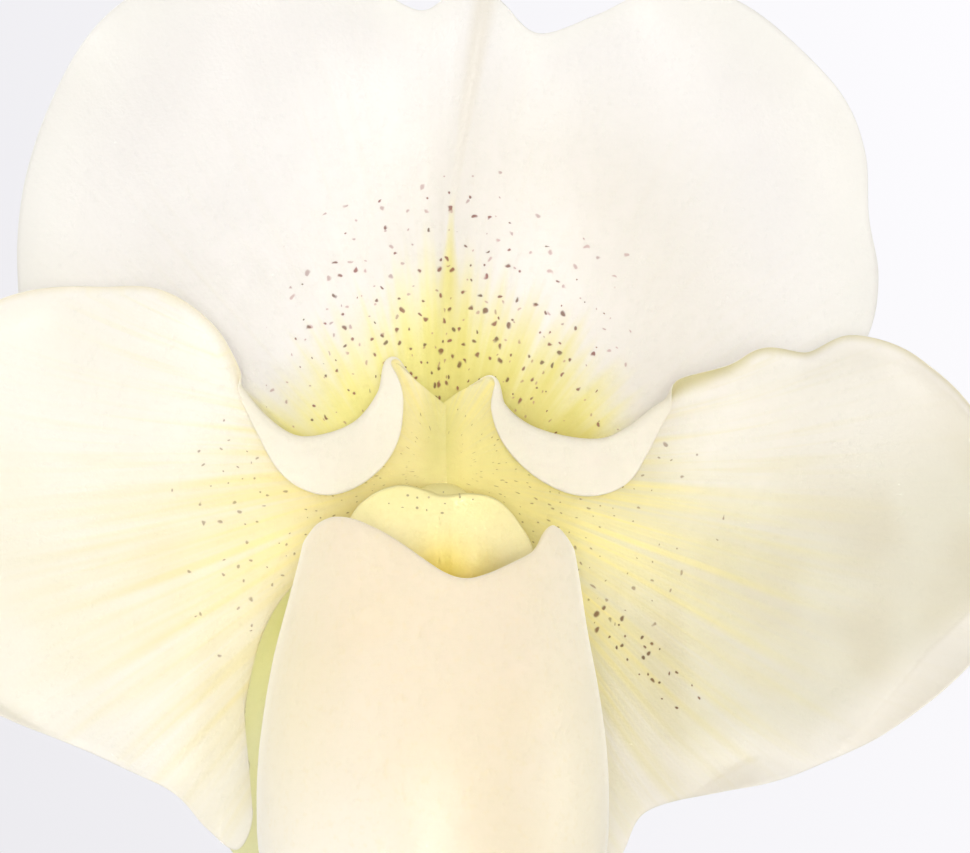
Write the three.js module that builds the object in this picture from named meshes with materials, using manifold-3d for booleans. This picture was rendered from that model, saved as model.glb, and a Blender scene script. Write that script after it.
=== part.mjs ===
// A slipper orchid in flower, in a plain clay pot.
// Millimetres, +Z up, the origin at the centre of the pot's underside, the bloom facing -Y.
import * as THREE from 'three';
import Module from 'manifold-3d';
import { mergeVertices } from 'three/addons/utils/BufferGeometryUtils.js';

const wasm = await Module();
wasm.setup();

// Clearance between pieces that touch, and how thick each kind of sheet is.
const GAP = 0.35;
const LEAF_THICK = 1.0;
const PETAL_THICK = 0.9;
const LIP_THICK = 1.0;

// Pot.
const POT_HEIGHT = 104;
const POT_BASE_R = 41;
const POT_NECK_R = 51;
const POT_RIM_R = 57;
const POT_RIM_TALL = 23;
const POT_WALL = 5;
const POT_FLOOR = 7;
const POT_SIDES = 40;
const DRAIN_R = 4.5;
const DRAIN_RING = 24;
const DRAIN_COUNT = 4;

// Bark that fills the pot.
const BARK_TOP = 90;
const BARK_CHIPS = 46;
const CLEARING = 8;

// Growths: where each fan of leaves stands, and its short stem.
const MAIN_AT = [0, 3];
const SIDE_AT = [4, 33];
const CROWN_R = 5;
const CROWN_FOOT_R = 10;
const CROWN_DEEP = 20;
const CROWN_RISE = 20;
const SHEATH_STEP = 1.6;
const SHEATH_ANGLE = 1.35;

// Flower stalk and ovary. The bloom's centre is where sepals, petals and lip meet.
const BLOOM_AT = [0, -18, 345];
const STALK_BACK = 21;
const STALK_R = 2.3;
const OVARY_DROP = 47;
const OVARY_FACE = 2.2;

// Ovary and stalk share this route behind the bloom, from its centre: y, z.
const OVARY_ROUTE = [
  [OVARY_FACE, -2], [7, -2.2], [13.5, -5], [18.5, -13], [20.6, -26], [STALK_BACK, -OVARY_DROP],
];
const OVARY_RADII = [4.6, 3.1, 3.3, 3.5, 3.2, 2.3];

// Outlines, in millimetres from the bloom's centre: x to the right, z up.
const DORSAL_MIDDLE = [0, 20];
const DORSAL_OUTLINE = [
  [0, -0.8], [8, -1.8], [17, -2.6], [27, -0.5], [35, 4.5], [39.2, 10.5], [40.4, 16], [39.5, 21.5],
  [39, 27.5], [36.5, 33], [30.5, 38.8], [25.5, 41.4], [20.5, 42.4], [14, 39.4], [8.8, 37.6], [5.6, 40.4],
  [2.8, 43.4], [0.4, 40.9], [-2, 39.6], [-6, 41.4], [-12, 44], [-19, 44.6], [-25.5, 43.2], [-31, 39.5],
  [-35.8, 32.5], [-38.4, 25.5], [-39.3, 17], [-38.2, 9], [-33, 2], [-25, -1.4], [-16, -2.6], [-8, -1.8],
];

// The dorsal sepal's midrib: its lean to the right, and its further lean above a height.
const RIB_LEAN = 0.045;
const RIB_BEND = 0.11;
const RIB_BEND_AT = 22;

const SYNSEPAL_MIDDLE = [-2, -24];
const SYNSEPAL_OUTLINE = [
  [0, -1.6], [7, -3], [13, -9], [16.5, -18], [16.5, -27], [14, -35], [8.5, -42], [-1, -45.5],
  [-10.5, -43.5], [-18, -37.5], [-22.4, -30], [-22.2, -21], [-18.5, -11.5], [-11, -4], [-5, -2],
];
const RIGHT_UPPER = [
  [0.45, 4], [2, 5.4], [4.4, 6.2], [5, 3.6], [7.4, 1.5], [11, 0.3], [14.6, 0.1], [17.4, 1.4], [20.6, 3.8],
  [26, 6.4], [29, 8.2], [33, 8], [37, 9.5], [41.5, 8.4], [45.8, 5.4], [49.3, 1.5],
];
const RIGHT_TIP = [[49.3, 1.5], [51, -3], [51.4, -8], [50.6, -13], [48, -19]];
const RIGHT_LOWER = [
  [0.45, -2.3], [2.8, -2.5], [4, -7], [6, -17], [9.5, -28], [13, -35.5], [16, -36.6], [18.4, -32.6],
  [25, -30.6], [32.5, -29], [38.5, -26.5], [44, -22.4], [48, -19],
];
const LEFT_UPPER = [
  [-0.45, 4], [-2, 6], [-4.3, 7.8], [-4.8, 4.8], [-7, 1.9], [-10.2, 0.5], [-13.2, 0.4], [-16, 2.2],
  [-18.6, 5.4], [-21, 10.4], [-25.5, 13.6], [-31, 13.9], [-37, 13.6], [-42, 11.6], [-46.5, 7.5], [-49.6, 2],
];
const LEFT_TIP = [[-49.6, 2], [-51, -3], [-50.8, -9], [-48.5, -16], [-44, -21.6]];
const LEFT_LOWER = [
  [-0.45, -2.3], [-2.8, -2.5], [-4.4, -5.4], [-10, -9], [-15, -14.4], [-17.2, -21], [-17.8, -27],
  [-17, -32.8], [-18.4, -36], [-21, -34], [-24, -30.6], [-29.4, -28.2], [-37, -25], [-44, -21.6],
];

// How far each petal's upper margin rolls forward past its fold, by its place along the margin.
const ROLL_R = 0.9;
const ROLL_TURN = 2.9;
const RIGHT_ROLL = [
  [0, 0], [0.12, 0], [0.16, 1.6], [0.2, 2.6], [0.27, 4.6], [0.33, 6.3], [0.4, 6.5], [0.45, 4.6],
  [0.5, 3.1], [0.55, 2.1], [0.6, 1.2], [1, 0.6],
];
const LEFT_ROLL = [
  [0, 0], [0.12, 0], [0.16, 2.2], [0.2, 3.7], [0.26, 6], [0.33, 7.3], [0.37, 6.4], [0.4, 5], [0.43, 3.6],
  [0.48, 2.5], [0.53, 1.7], [0.58, 1], [1, 0.6],
];

// Where a petal's lower margin curls forward: distance out along x, and the width of the curled band.
const RIGHT_CURL = [
  [0, 0], [22, 0], [25, 1.6], [28.5, 2.6], [31.5, 1], [35, 0.3], [39, 2.6], [44, 4.8], [52, 6],
];
const LEFT_CURL = [[0, 0], [25, 0], [31, 1.4], [36, 0.4], [43, 2.4], [52, 3]];

// The pouch, by height: z, half width, half depth, and the y of its middle.
const POUCH_PROFILE = [
  [-47.6, 0.6, 0.6, -20], [-47, 5, 4.6, -20], [-45, 9, 8.2, -20.2], [-41, 12.8, 11.4, -20.4],
  [-35, 15, 12.8, -20.2], [-27, 15.1, 12.8, -19.6], [-20, 14.2, 12, -18.6], [-14, 12.9, 10.8, -17.4],
  [-9, 11.9, 9.6, -16.4], [-4, 10.8, 8.6, -15.6],
];
const POUCH_MIDDLE = -0.5;
const POUCH_LEAN = 0.4;
const POUCH_TURNS = 40;
const POUCH_RINGS = 9;

// Height of the pouch's rim by degrees round from its front: a notch in front, an ear on each side.
const POUCH_RIM = [
  [-180, -10.5], [-130, -9.8], [-100, -8.8], [-80, -7.6], [-68, -6.5], [-56, -6], [-46, -6], [-37, -6.3],
  [-24, -7.2], [-14, -8.3], [-5, -9.5], [4, -10.7], [12.5, -11.2], [22, -10.7], [32, -9.9], [42, -9.2],
  [49, -8.6], [54, -7.6], [60, -6.8], [66, -6.7], [73, -7.3], [85, -8.5], [100, -9.2], [130, -10],
  [180, -10.5],
];

// Staminode, the bilobed shield at the column's end.
const SHIELD_THICK = 1.4;
const SHIELD_MIDDLE = [0, -8];
const SHIELD_OUTLINE = [
  [0.2, -4.4], [2.6, -4.2], [4.8, -4.7], [6.5, -6.5], [7.7, -9.1], [6.2, -12], [2.8, -13.8], [0, -14.4],
  [-2.8, -13.8], [-6.2, -11.6], [-7.9, -8.4], [-7.2, -5.7], [-5.4, -4.1], [-3.3, -3.5], [-1.4, -3.9],
];

// Half width and half height of the column's stalk.
const COLUMN_WIDE = 2.6;
const COLUMN_TALL = 1.7;

const COLOURS = {
  clay: 0xb5694a, bark: 0x6b4a32, stem: 0x6f7d3c, leaf: 0x3f6b33, sepal: 0xf6f1e4,
  petal: 0xf3ecc9, lip: 0xf4e9bd, shield: 0xf6df8a, ovary: 0x7f9150, bract: 0x86a055,
};

// Small maths.
const mix = (a, b, t) => a + (b - a) * t;
const clamp = (t) => Math.min(1, Math.max(0, t));
const smooth = (t) => clamp(t) ** 2 * (3 - 2 * clamp(t));
const bell = (t) => Math.exp(-t * t);

// A curve through points of any size, as a function of 0 to 1.
function splineThrough(points, closed = false) {
  const count = points.length;
  const spans = closed ? count : count - 1;
  const pick = (i) => points[closed ? (i + count) % count : Math.min(count - 1, Math.max(0, i))];
  return (t) => {
    const place = Math.min(Math.max(t, 0), 1) * spans;
    const i = Math.min(Math.floor(place), spans - 1);
    const f = place - i;
    const [a, b, c, d] = [pick(i - 1), pick(i), pick(i + 1), pick(i + 2)];
    return b.map((_, k) => {
      const slopeB = (c[k] - a[k]) / 2;
      const slopeC = (d[k] - b[k]) / 2;
      const rise = c[k] - b[k];
      return b[k] + f * (slopeB + f * (3 * rise - 2 * slopeB - slopeC + f * (slopeB + slopeC - 2 * rise)));
    });
  };
}

// The value at a place in a list of [place, value] pairs, straight between them.
function valueAt(pairs, place) {
  for (let i = 1; i < pairs.length; i += 1) {
    if (place <= pairs[i][0]) {
      const t = clamp((place - pairs[i - 1][0]) / (pairs[i][0] - pairs[i - 1][0]));
      return pairs[i - 1].slice(1).map((v, k) => mix(v, pairs[i][k + 1], t));
    }
  }
  return pairs[pairs.length - 1].slice(1);
}

// The same draws every time, from 0 to 1.
function seeded(seed) {
  let state = seed;
  return () => {
    state = (state * 1664525 + 1013904223) % 4294967296;
    return state / 4294967296;
  };
}

// Surfaces are lists of points and triangles, with the front to the viewer's side.
function stripSurface(rows, columns, pointAt) {
  const points = [];
  const faces = [];
  for (let i = 0; i <= rows; i += 1) {
    for (let j = 0; j <= columns; j += 1) {
      points.push(new THREE.Vector3(...pointAt(i / rows, j)));
    }
  }
  const at = (i, j) => i * (columns + 1) + j;
  for (let i = 0; i < rows; i += 1) {
    for (let j = 0; j < columns; j += 1) {
      faces.push([at(i, j), at(i + 1, j), at(i + 1, j + 1)], [at(i, j), at(i + 1, j + 1), at(i, j + 1)]);
    }
  }
  return { points, faces };
}

function roundSurface(turns, rings, pointAt) {
  const points = [new THREE.Vector3(...pointAt(0, 0))];
  const faces = [];
  for (let ring = 1; ring <= rings; ring += 1) {
    for (let turn = 0; turn < turns; turn += 1) {
      points.push(new THREE.Vector3(...pointAt(turn / turns, ring / rings)));
    }
  }
  const at = (ring, turn) => (ring === 0 ? 0 : 1 + (ring - 1) * turns + (turn % turns));
  for (let ring = 0; ring < rings; ring += 1) {
    for (let turn = 0; turn < turns; turn += 1) {
      faces.push([at(ring, turn), at(ring + 1, turn), at(ring + 1, turn + 1)]);
      if (ring > 0) {
        faces.push([at(ring, turn), at(ring + 1, turn + 1), at(ring, turn + 1)]);
      }
    }
  }
  return { points, faces };
}

// A closed sheet of even thickness about a surface, with its triangles alike on both faces.
function sheet(surface, thick) {
  const { points, faces } = surface;
  const normals = points.map(() => new THREE.Vector3());
  const edges = new Map();
  const side = new THREE.Vector3();
  const along = new THREE.Vector3();
  for (const [a, b, c] of faces) {
    along.subVectors(points[c], points[a]);
    side.subVectors(points[b], points[a]).cross(along).normalize();
    for (const i of [a, b, c]) {
      normals[i].add(side);
    }
    for (const [from, to] of [[a, b], [b, c], [c, a]]) {
      if (!edges.delete(`${to}_${from}`)) {
        edges.set(`${from}_${to}`, [from, to]);
      }
    }
  }
  const count = points.length;
  const shift = (by) => points.map((p, i) => p.clone().addScaledVector(normals[i].clone().normalize(), by));
  const places = [...shift(thick / 2), ...shift(-thick / 2)];
  const triangles = faces.flatMap(([a, b, c]) => [[a, b, c], [a + count, c + count, b + count]]);
  for (const [from, to] of edges.values()) {
    triangles.push([to, from, from + count], [to, from + count, to + count]);
  }
  return geometryOf(places, triangles);
}

function geometryOf(places, triangles) {
  const geometry = new THREE.BufferGeometry();
  const numbers = places.flatMap((p) => p.toArray());
  geometry.setAttribute('position', new THREE.Float32BufferAttribute(numbers, 3));
  geometry.setIndex(triangles.flat());
  return geometry;
}

// Joins and cuts.
function solidOf(geometry) {
  const bare = geometry.clone();
  bare.deleteAttribute('normal');
  bare.deleteAttribute('uv');
  const merged = mergeVertices(bare, 1e-4);
  return new wasm.Manifold(new wasm.Mesh({
    numProp: 3,
    vertProperties: new Float32Array(merged.attributes.position.array),
    triVerts: new Uint32Array(merged.index.array),
  }));
}

// The largest body alone: sealed pockets between chips are filled, and scraps dropped.
function largestBody(solid) {
  return solid.decompose().reduce((best, body) => (body.volume() > best.volume() ? body : best));
}

function geometryFrom(solid) {
  const mesh = largestBody(solid).getMesh();
  const geometry = new THREE.BufferGeometry();
  geometry.setAttribute('position', new THREE.BufferAttribute(mesh.vertProperties, 3));
  geometry.setIndex(new THREE.BufferAttribute(mesh.triVerts, 1));
  return geometry;
}

function upright(radius, low, high, at, sides = 20) {
  const geometry = new THREE.CylinderGeometry(radius, radius, high - low, sides);
  geometry.rotateX(Math.PI / 2);
  geometry.translate(at[0], at[1], (low + high) / 2);
  return geometry;
}

// A round stem of changing thickness along a route: rings across it and a cap at each end.
function stem(route, radiusAt, sides, steps) {
  const places = [];
  const triangles = [];
  const forward = new THREE.Vector3();
  const across = new THREE.Vector3();
  const up = new THREE.Vector3();
  const step = 1e-3;
  for (let i = 0; i <= steps; i += 1) {
    const t = i / steps;
    const here = new THREE.Vector3(...route(t));
    forward.set(...route(t + step)).sub(new THREE.Vector3(...route(t - step))).normalize();
    across.set(1, 0, 0).addScaledVector(forward, -forward.x).normalize();
    up.crossVectors(forward, across);
    for (let j = 0; j < sides; j += 1) {
      const angle = (2 * Math.PI * j) / sides;
      const radius = radiusAt(t, angle);
      const point = here.clone().addScaledVector(across, radius * Math.cos(angle));
      places.push(point.addScaledVector(up, radius * Math.sin(angle)));
    }
  }
  const at = (i, j) => i * sides + (j % sides);
  for (let i = 0; i < steps; i += 1) {
    for (let j = 0; j < sides; j += 1) {
      triangles.push([at(i, j), at(i, j + 1), at(i + 1, j + 1)]);
      triangles.push([at(i, j), at(i + 1, j + 1), at(i + 1, j)]);
    }
  }
  for (let j = 1; j < sides - 1; j += 1) {
    triangles.push([at(0, 0), at(0, j + 1), at(0, j)], [at(steps, 0), at(steps, j), at(steps, j + 1)]);
  }
  return geometryOf(places, triangles);
}

// Pot: one wall with a thick rim, and holes in its floor.
function potGeometry() {
  const neck = POT_HEIGHT - POT_RIM_TALL;
  const profile = [
    [0, 0], [POT_BASE_R - 1.5, 0], [POT_BASE_R, 1.5], [POT_NECK_R, neck - 1], [POT_RIM_R - 1.5, neck],
    [POT_RIM_R, POT_HEIGHT - 2], [POT_RIM_R - 2, POT_HEIGHT], [POT_RIM_R - POT_WALL + 0.5, POT_HEIGHT],
    [POT_RIM_R - POT_WALL - 0.5, POT_HEIGHT - 2], [insideRadius(neck), neck],
    [insideRadius(POT_FLOOR), POT_FLOOR], [0, POT_FLOOR],
  ];
  const wall = new THREE.LatheGeometry(profile.map(([r, z]) => new THREE.Vector2(r, z)), POT_SIDES);
  wall.rotateX(Math.PI / 2);
  let pot = solidOf(wall);
  for (let i = 0; i < DRAIN_COUNT; i += 1) {
    const angle = (2 * Math.PI * (i + 0.5)) / DRAIN_COUNT;
    const at = [DRAIN_RING * Math.cos(angle), DRAIN_RING * Math.sin(angle)];
    pot = pot.subtract(solidOf(upright(DRAIN_R, -1, POT_FLOOR + 1, at, 12)));
  }
  return geometryFrom(pot);
}

// The pot's inner wall at a height.
function insideRadius(z) {
  return mix(POT_BASE_R, POT_NECK_R, z / (POT_HEIGHT - POT_RIM_TALL)) - POT_WALL;
}

// Bark: a fill with chips lying in its top, and a plain hole for each growth.
function barkGeometry() {
  const draw = seeded(41);
  const topR = insideRadius(BARK_TOP) - GAP;
  const lowZ = POT_FLOOR + GAP;
  const profile = [
    [0, lowZ], [insideRadius(lowZ) - GAP, lowZ],
    [topR, BARK_TOP - 1], [topR - 3, BARK_TOP + 1], [0, BARK_TOP],
  ];
  const fill = new THREE.LatheGeometry(profile.map(([r, z]) => new THREE.Vector2(r, z)), POT_SIDES);
  fill.rotateX(Math.PI / 2);
  let bark = solidOf(fill);
  for (let i = 0; i < BARK_CHIPS; i += 1) {
    const radius = (topR - 9) * Math.sqrt((i + 0.5) / BARK_CHIPS);
    const angle = i * 2.39996 + 0.3 * draw();
    const chip = new THREE.BoxGeometry(mix(9, 17, draw()), mix(6, 11, draw()), mix(3, 5, draw()));
    const spots = chip.attributes.position;
    for (let k = 0; k < spots.count; k += 1) {
      const pinch = 1 + 0.22 * Math.sin(5 * spots.getX(k) + 3 * spots.getZ(k) + i);
      spots.setY(k, spots.getY(k) * pinch);
    }
    chip.rotateX(mix(-0.35, 0.35, draw()));
    chip.rotateY(mix(-0.35, 0.35, draw()));
    chip.rotateZ(2 * Math.PI * draw());
    chip.translate(radius * Math.cos(angle), radius * Math.sin(angle), BARK_TOP + mix(0, 1.6, draw()));
    bark = bark.add(solidOf(chip));
  }
  for (const at of [MAIN_AT, SIDE_AT]) {
    const hole = upright(CROWN_FOOT_R + GAP, BARK_TOP - CROWN_DEEP - GAP, BARK_TOP + 1, at);
    const clearing = upright(CROWN_FOOT_R + CLEARING, BARK_TOP - 0.5, BARK_TOP + 30, at);
    bark = bark.subtract(solidOf(hole)).subtract(solidOf(clearing));
  }
  return geometryFrom(bark);
}

// A growth's short stem: a wide foot in the bark and a neck between the leaf bases.
function crownGeometry(at, stalkHole) {
  const foot = BARK_TOP - CROWN_DEEP;
  const shoulder = BARK_TOP - 2.8;
  const top = BARK_TOP + CROWN_RISE;
  const profile = [
    [0, foot], [CROWN_FOOT_R - 2, foot], [CROWN_FOOT_R, foot + 3], [CROWN_FOOT_R, shoulder - 1],
    [CROWN_FOOT_R - 1, shoulder], [CROWN_R, shoulder], [CROWN_R, top - 4], [CROWN_R - 1.4, top], [0, top],
  ];
  const body = new THREE.LatheGeometry(profile.map(([r, z]) => new THREE.Vector2(r, z)), 20);
  body.rotateX(Math.PI / 2);
  body.translate(at[0], at[1], 0);
  if (!stalkHole) {
    return body;
  }
  const hole = upright(STALK_R + GAP + 0.15, top - 12, top + 1, at, 14);
  return geometryFrom(solidOf(body).subtract(solidOf(hole)));
}

// A strap leaf. Its base hugs the growth's stem, and its blade arches out and opens flat.
// lean is its steepness at the base and at the tip, in degrees above level.
function leafGeometry(at, leaf) {
  const steps = 15;
  const columns = 6;
  const nest = CROWN_R + GAP + LEAF_THICK / 2 + leaf.layer * SHEATH_STEP;
  const azimuth = THREE.MathUtils.degToRad(leaf.azimuth);
  const out = new THREE.Vector3(Math.cos(azimuth), Math.sin(azimuth), 0);
  const across = new THREE.Vector3(-Math.sin(azimuth), Math.cos(azimuth), 0);
  const spine = [[nest, BARK_TOP - 2.2]];
  const slopes = [];
  const fine = 12;
  for (let i = 0; i <= steps * fine; i += 1) {
    const t = i / (steps * fine);
    slopes.push(leafSlope(leaf, t));
    const [r, z] = spine[spine.length - 1];
    const move = leaf.length / (steps * fine);
    spine.push([r + move * Math.cos(slopes[i]), z + move * Math.sin(slopes[i])]);
  }
  return sheet(stripSurface(steps, columns, (t, j) => {
    const i = Math.round(t * steps * fine);
    const [r, z] = spine[i];
    const side = (2 * j) / columns - 1;
    const half = leafHalfWidth(leaf, t, nest);
    const bend = mix(nest, 90, smooth((t - 0.5 * leaf.sheath) / 0.3));
    const fold = side * (half / bend);
    const crease = 0.2 * smooth(t / 0.25) * half * Math.abs(side) ** 1.5;
    const lift = bend * (1 - Math.cos(fold)) + crease;
    const inward = new THREE.Vector3().addScaledVector(out, -Math.sin(slopes[i]));
    inward.z = Math.cos(slopes[i]);
    const twist = leaf.twist * t * t;
    const spread = bend * Math.sin(fold);
    const point = out.clone().multiplyScalar(r);
    point.addScaledVector(across, spread * Math.cos(twist) + leaf.sway * t * t);
    point.addScaledVector(inward, lift + spread * Math.sin(twist));
    return [point.x + at[0], point.y + at[1], point.z + z];
  }), LEAF_THICK);
}

function leafSlope(leaf, t) {
  const turn = smooth((t - leaf.sheath) / (1 - leaf.sheath));
  const degrees = mix(88, leaf.lean[0], smooth(t / leaf.sheath)) + (leaf.lean[1] - leaf.lean[0]) * turn;
  return THREE.MathUtils.degToRad(degrees);
}

function leafHalfWidth(leaf, t, nest) {
  const base = nest * SHEATH_ANGLE;
  const belly = mix(base, leaf.width / 2, smooth((t - 0.5 * leaf.sheath) / 0.42));
  const tip = Math.sqrt(Math.max(0, 1 - clamp((t - 0.62) / 0.385) ** 2.4));
  return Math.max(1.4, belly * tip);
}

const MAIN_LEAVES = [
  { layer: 2, azimuth: -12, length: 158, width: 39, lean: [38, -28], sheath: 0.1, twist: 0.25, sway: -8 },
  { layer: 2, azimuth: 170, length: 150, width: 37, lean: [40, -26], sheath: 0.11, twist: -0.2, sway: 8 },
  { layer: 1, azimuth: -6, length: 182, width: 41, lean: [58, -14], sheath: 0.11, twist: -0.2, sway: 6 },
  { layer: 1, azimuth: 176, length: 176, width: 40, lean: [60, -12], sheath: 0.12, twist: 0.25, sway: -6 },
  { layer: 0, azimuth: -1, length: 148, width: 34, lean: [76, 18], sheath: 0.18, twist: 0.3, sway: 7 },
  { layer: 0, azimuth: 182, length: 136, width: 32, lean: [78, 24], sheath: 0.2, twist: -0.3, sway: -7 },
];
const SIDE_LEAVES = [
  { layer: 1, azimuth: 9, length: 112, width: 30, lean: [48, -10], sheath: 0.13, twist: 0.2, sway: 34 },
  { layer: 1, azimuth: 171, length: 104, width: 28, lean: [52, -6], sheath: 0.14, twist: -0.2, sway: -36 },
  { layer: 0, azimuth: 8, length: 84, width: 23, lean: [72, 30], sheath: 0.25, twist: 0.25, sway: 16 },
  { layer: 0, azimuth: 172, length: 72, width: 20, lean: [78, 44], sheath: 0.28, twist: -0.25, sway: -12 },
];

// Flower stalk, from its hole in the growth's stem up to the ovary.
function stalkGeometry() {
  const top = BLOOM_AT[2] - OVARY_DROP - GAP;
  const low = BARK_TOP + CROWN_RISE - 12 + GAP;
  const [x, y] = MAIN_AT;
  const [endX, endY] = [BLOOM_AT[0], BLOOM_AT[1] + STALK_BACK];
  const route = splineThrough([
    [x, y, low], [x, y, mix(low, top, 0.12)], [x + 1.6, y + 1.4, mix(low, top, 0.42)],
    [x - 1, y + 1, mix(low, top, 0.74)], [endX, endY, top - 8], [endX, endY, top],
  ]);
  return stem(route, () => STALK_R, 10, 16);
}

// Ovary: six low ribs, and a flared end that carries the bloom.
function ovaryGeometry() {
  const route = splineThrough(OVARY_ROUTE.map(([y, z]) => [BLOOM_AT[0], BLOOM_AT[1] + y, BLOOM_AT[2] + z]));
  const radii = splineThrough(OVARY_RADII.map((r) => [r]));
  const rib = (t, angle) => radii(t)[0] * (1 + 0.07 * Math.cos(6 * angle) * Math.sin(Math.PI * t));
  return stem(route, rib, 12, 16);
}

// Bract: a pointed sheath that clasps the stalk below the ovary and stands away from it above.
function bractGeometry() {
  const low = BLOOM_AT[2] - OVARY_DROP - 12;
  const tall = 36;
  const y = BLOOM_AT[1] + STALK_BACK;
  return sheet(stripSurface(8, 6, (t, j) => {
    const side = j / 3 - 1;
    const radius = STALK_R + GAP + 0.75 + 2.2 * smooth(t * 1.4) + 2.6 * t * t;
    const cover = 2.3 * Math.sqrt(Math.max(0, 1 - t ** 2.2)) + 0.12;
    const angle = Math.PI / 2 + side * cover;
    return [BLOOM_AT[0] + radius * Math.cos(angle), y + radius * Math.sin(angle), low + tall * t];
  }), 0.8);
}

// Depth of the dorsal sepal: sides swept back, a groove along the midrib, and a waved margin.
function dorsalDepth(x, z, edge) {
  const rise = smooth(z / 16);
  const swept = 0.0058 * x * x * mix(0.75, 1, rise);
  const rib = RIB_LEAN * z + RIB_BEND * Math.max(0, z - RIB_BEND_AT);
  const groove = 0.5 * bell((x - rib) / 1.3) * smooth(z / 10);
  const pillow = -1.6 * bell((Math.abs(x) - 13) / 10) * bell((z - 20) / 16);
  const wave = edge ** 4 * (0.9 * Math.sin(0.42 * x + 0.8) * rise + 0.8 * Math.sin(0.3 * z + 0.2 * x));
  return 1.2 + 1.7 * rise - 1.2 * smooth((z - 28) / 16) + swept + groove + pillow + wave;
}

function dorsalGeometry() {
  const outline = splineThrough(DORSAL_OUTLINE, true);
  const turns = DORSAL_OUTLINE.length * 1.5;
  return sheet(roundSurface(turns, 5, (turn, reach) => {
    const [x, z] = outline(turn).map((v, k) => mix(DORSAL_MIDDLE[k], v, reach ** 0.85));
    return [x, dorsalDepth(x, z, reach), z];
  }), PETAL_THICK);
}

// Depth of the synsepal, the joined lower sepals behind the pouch.
function synsepalGeometry() {
  const outline = splineThrough(SYNSEPAL_OUTLINE, true);
  return sheet(roundSurface(SYNSEPAL_OUTLINE.length * 2, 4, (turn, reach) => {
    const [x, z] = outline(turn).map((v, k) => mix(SYNSEPAL_MIDDLE[k], v, reach));
    const down = smooth((-z - 7) / 14);
    const wave = 0.4 * reach ** 3 * Math.sin(0.35 * z + 0.4 * x);
    const back = 4.6 * down - 2 * smooth((-z - 28) / 18) - 0.006 * (x + 2) ** 2 * down;
    return [x, 1.2 + back + wave * down, z];
  }), PETAL_THICK);
}

// Depth of a petal. x is the distance out from the centre line, down is 0 at the top margin and 1 at the
// lower, and curl is how far a point lies inside the band that curls forward.
function petalDepth(x, z, down, phase, curl) {
  const out = smooth((x - 1) / 12);
  const arch = -0.4 - 2.4 * out + 6.5 * smooth((x - 22) / 34);
  const hang = 3.4 * smooth((-z - 12) / 26) * out;
  const top = 2 * smooth((z - 2) / 12) * smooth((x - 16) / 12);
  const valley = 1.9 * bell((z + 9 + 0.12 * x) / 4.5) * smooth((x - 16) / 18);
  const margin = Math.abs(2 * down - 1) ** 5 * smooth((x - 17) / 12);
  const wave = margin * (1.7 * Math.sin(0.38 * x + phase) - 0.6);
  const lobe = 0.4 * smooth((23 - x) / 7) * smooth((-z - 8) / 10);
  const ridge = 0.6 * bell((x - 22.5) / 2.6) * smooth((-z - 4) / 8);
  return arch + hang + top + valley + wave + lobe - ridge - 0.7 * curl;
}

// A petal between its two margins, its base and its tip.
// Its upper margin rolls forward in a flap near the base.
function petalGeometry(upper, tip, lower, roll, curl, mirror, phase) {
  const steps = 30;
  const columns = 8;
  const rollColumns = 5;
  const upperAt = splineThrough(upper);
  const lowerAt = splineThrough(lower);
  const tipAt = splineThrough(tip);
  const corner = upper[upper.length - 1];
  const foot = lower[lower.length - 1];
  const place = (t, down) => {
    const top = upperAt(t);
    const low = lowerAt(t);
    const [x, z] = [0, 1].map((k) => {
      const bow = tipAt(down)[k] - mix(corner[k], foot[k], down);
      return mix(top[k], low[k], down) + bow * t ** 3;
    });
    const above = (1 - down) * Math.hypot(top[0] - low[0], top[1] - low[1]);
    const inside = Math.max(0, valueAt(curl, Math.abs(x))[0] - above);
    return new THREE.Vector3(x, petalDepth(Math.abs(x), z, down, phase, inside), z);
  };
  const surface = stripSurface(steps, columns + rollColumns, (t, j) => {
    const column = j - rollColumns;
    if (column >= 0) {
      return place(t, 1 - (1 - column / columns) ** 1.4).toArray();
    }
    const edge = place(t, 0);
    const ahead = place(Math.min(1, t + 0.02), 0).sub(place(Math.max(0, t - 0.02), 0)).normalize();
    const outward = new THREE.Vector3(-ahead.z * mirror, 0, ahead.x * mirror);
    const reach = (valueAt(roll, t)[0] * -column) / rollColumns;
    const angle = Math.min(reach / ROLL_R, ROLL_TURN);
    const rest = Math.max(0, reach - ROLL_TURN * ROLL_R);
    edge.addScaledVector(outward, ROLL_R * Math.sin(angle) + rest * Math.cos(ROLL_TURN));
    edge.y -= ROLL_R * (1 - Math.cos(angle)) + rest * Math.sin(ROLL_TURN);
    return edge.toArray();
  });
  if (mirror > 0) {
    surface.faces = surface.faces.map(([a, b, c]) => [a, c, b]);
  }
  return sheet(surface, PETAL_THICK);
}

// Height of the pouch's rim by the angle from its front, with its corners softened.
function rimHeight(angle) {
  const degrees = THREE.MathUtils.radToDeg(angle);
  return [-3, 0, 3].reduce((sum, shift) => sum + valueAt(POUCH_RIM, degrees + shift)[0] / 3, 0);
}

function pouchPoint(angle, rise, inset) {
  const low = POUCH_PROFILE[0][0] + inset;
  const z = mix(low, rimHeight(angle), rise);
  const lookup = Math.max(z - inset * 0.6 * (1 - rise), POUCH_PROFILE[0][0]);
  const [halfWide, halfDeep, middle] = valueAt(POUCH_PROFILE, lookup);
  const middleX = POUCH_MIDDLE + POUCH_LEAN * smooth((z + 18) / 10);
  const x = middleX + Math.max(0.3, halfWide - inset) * Math.sin(angle);
  const y = middle - Math.max(0.3, halfDeep - inset) * Math.cos(angle);
  return new THREE.Vector3(x, y, z);
}

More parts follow.
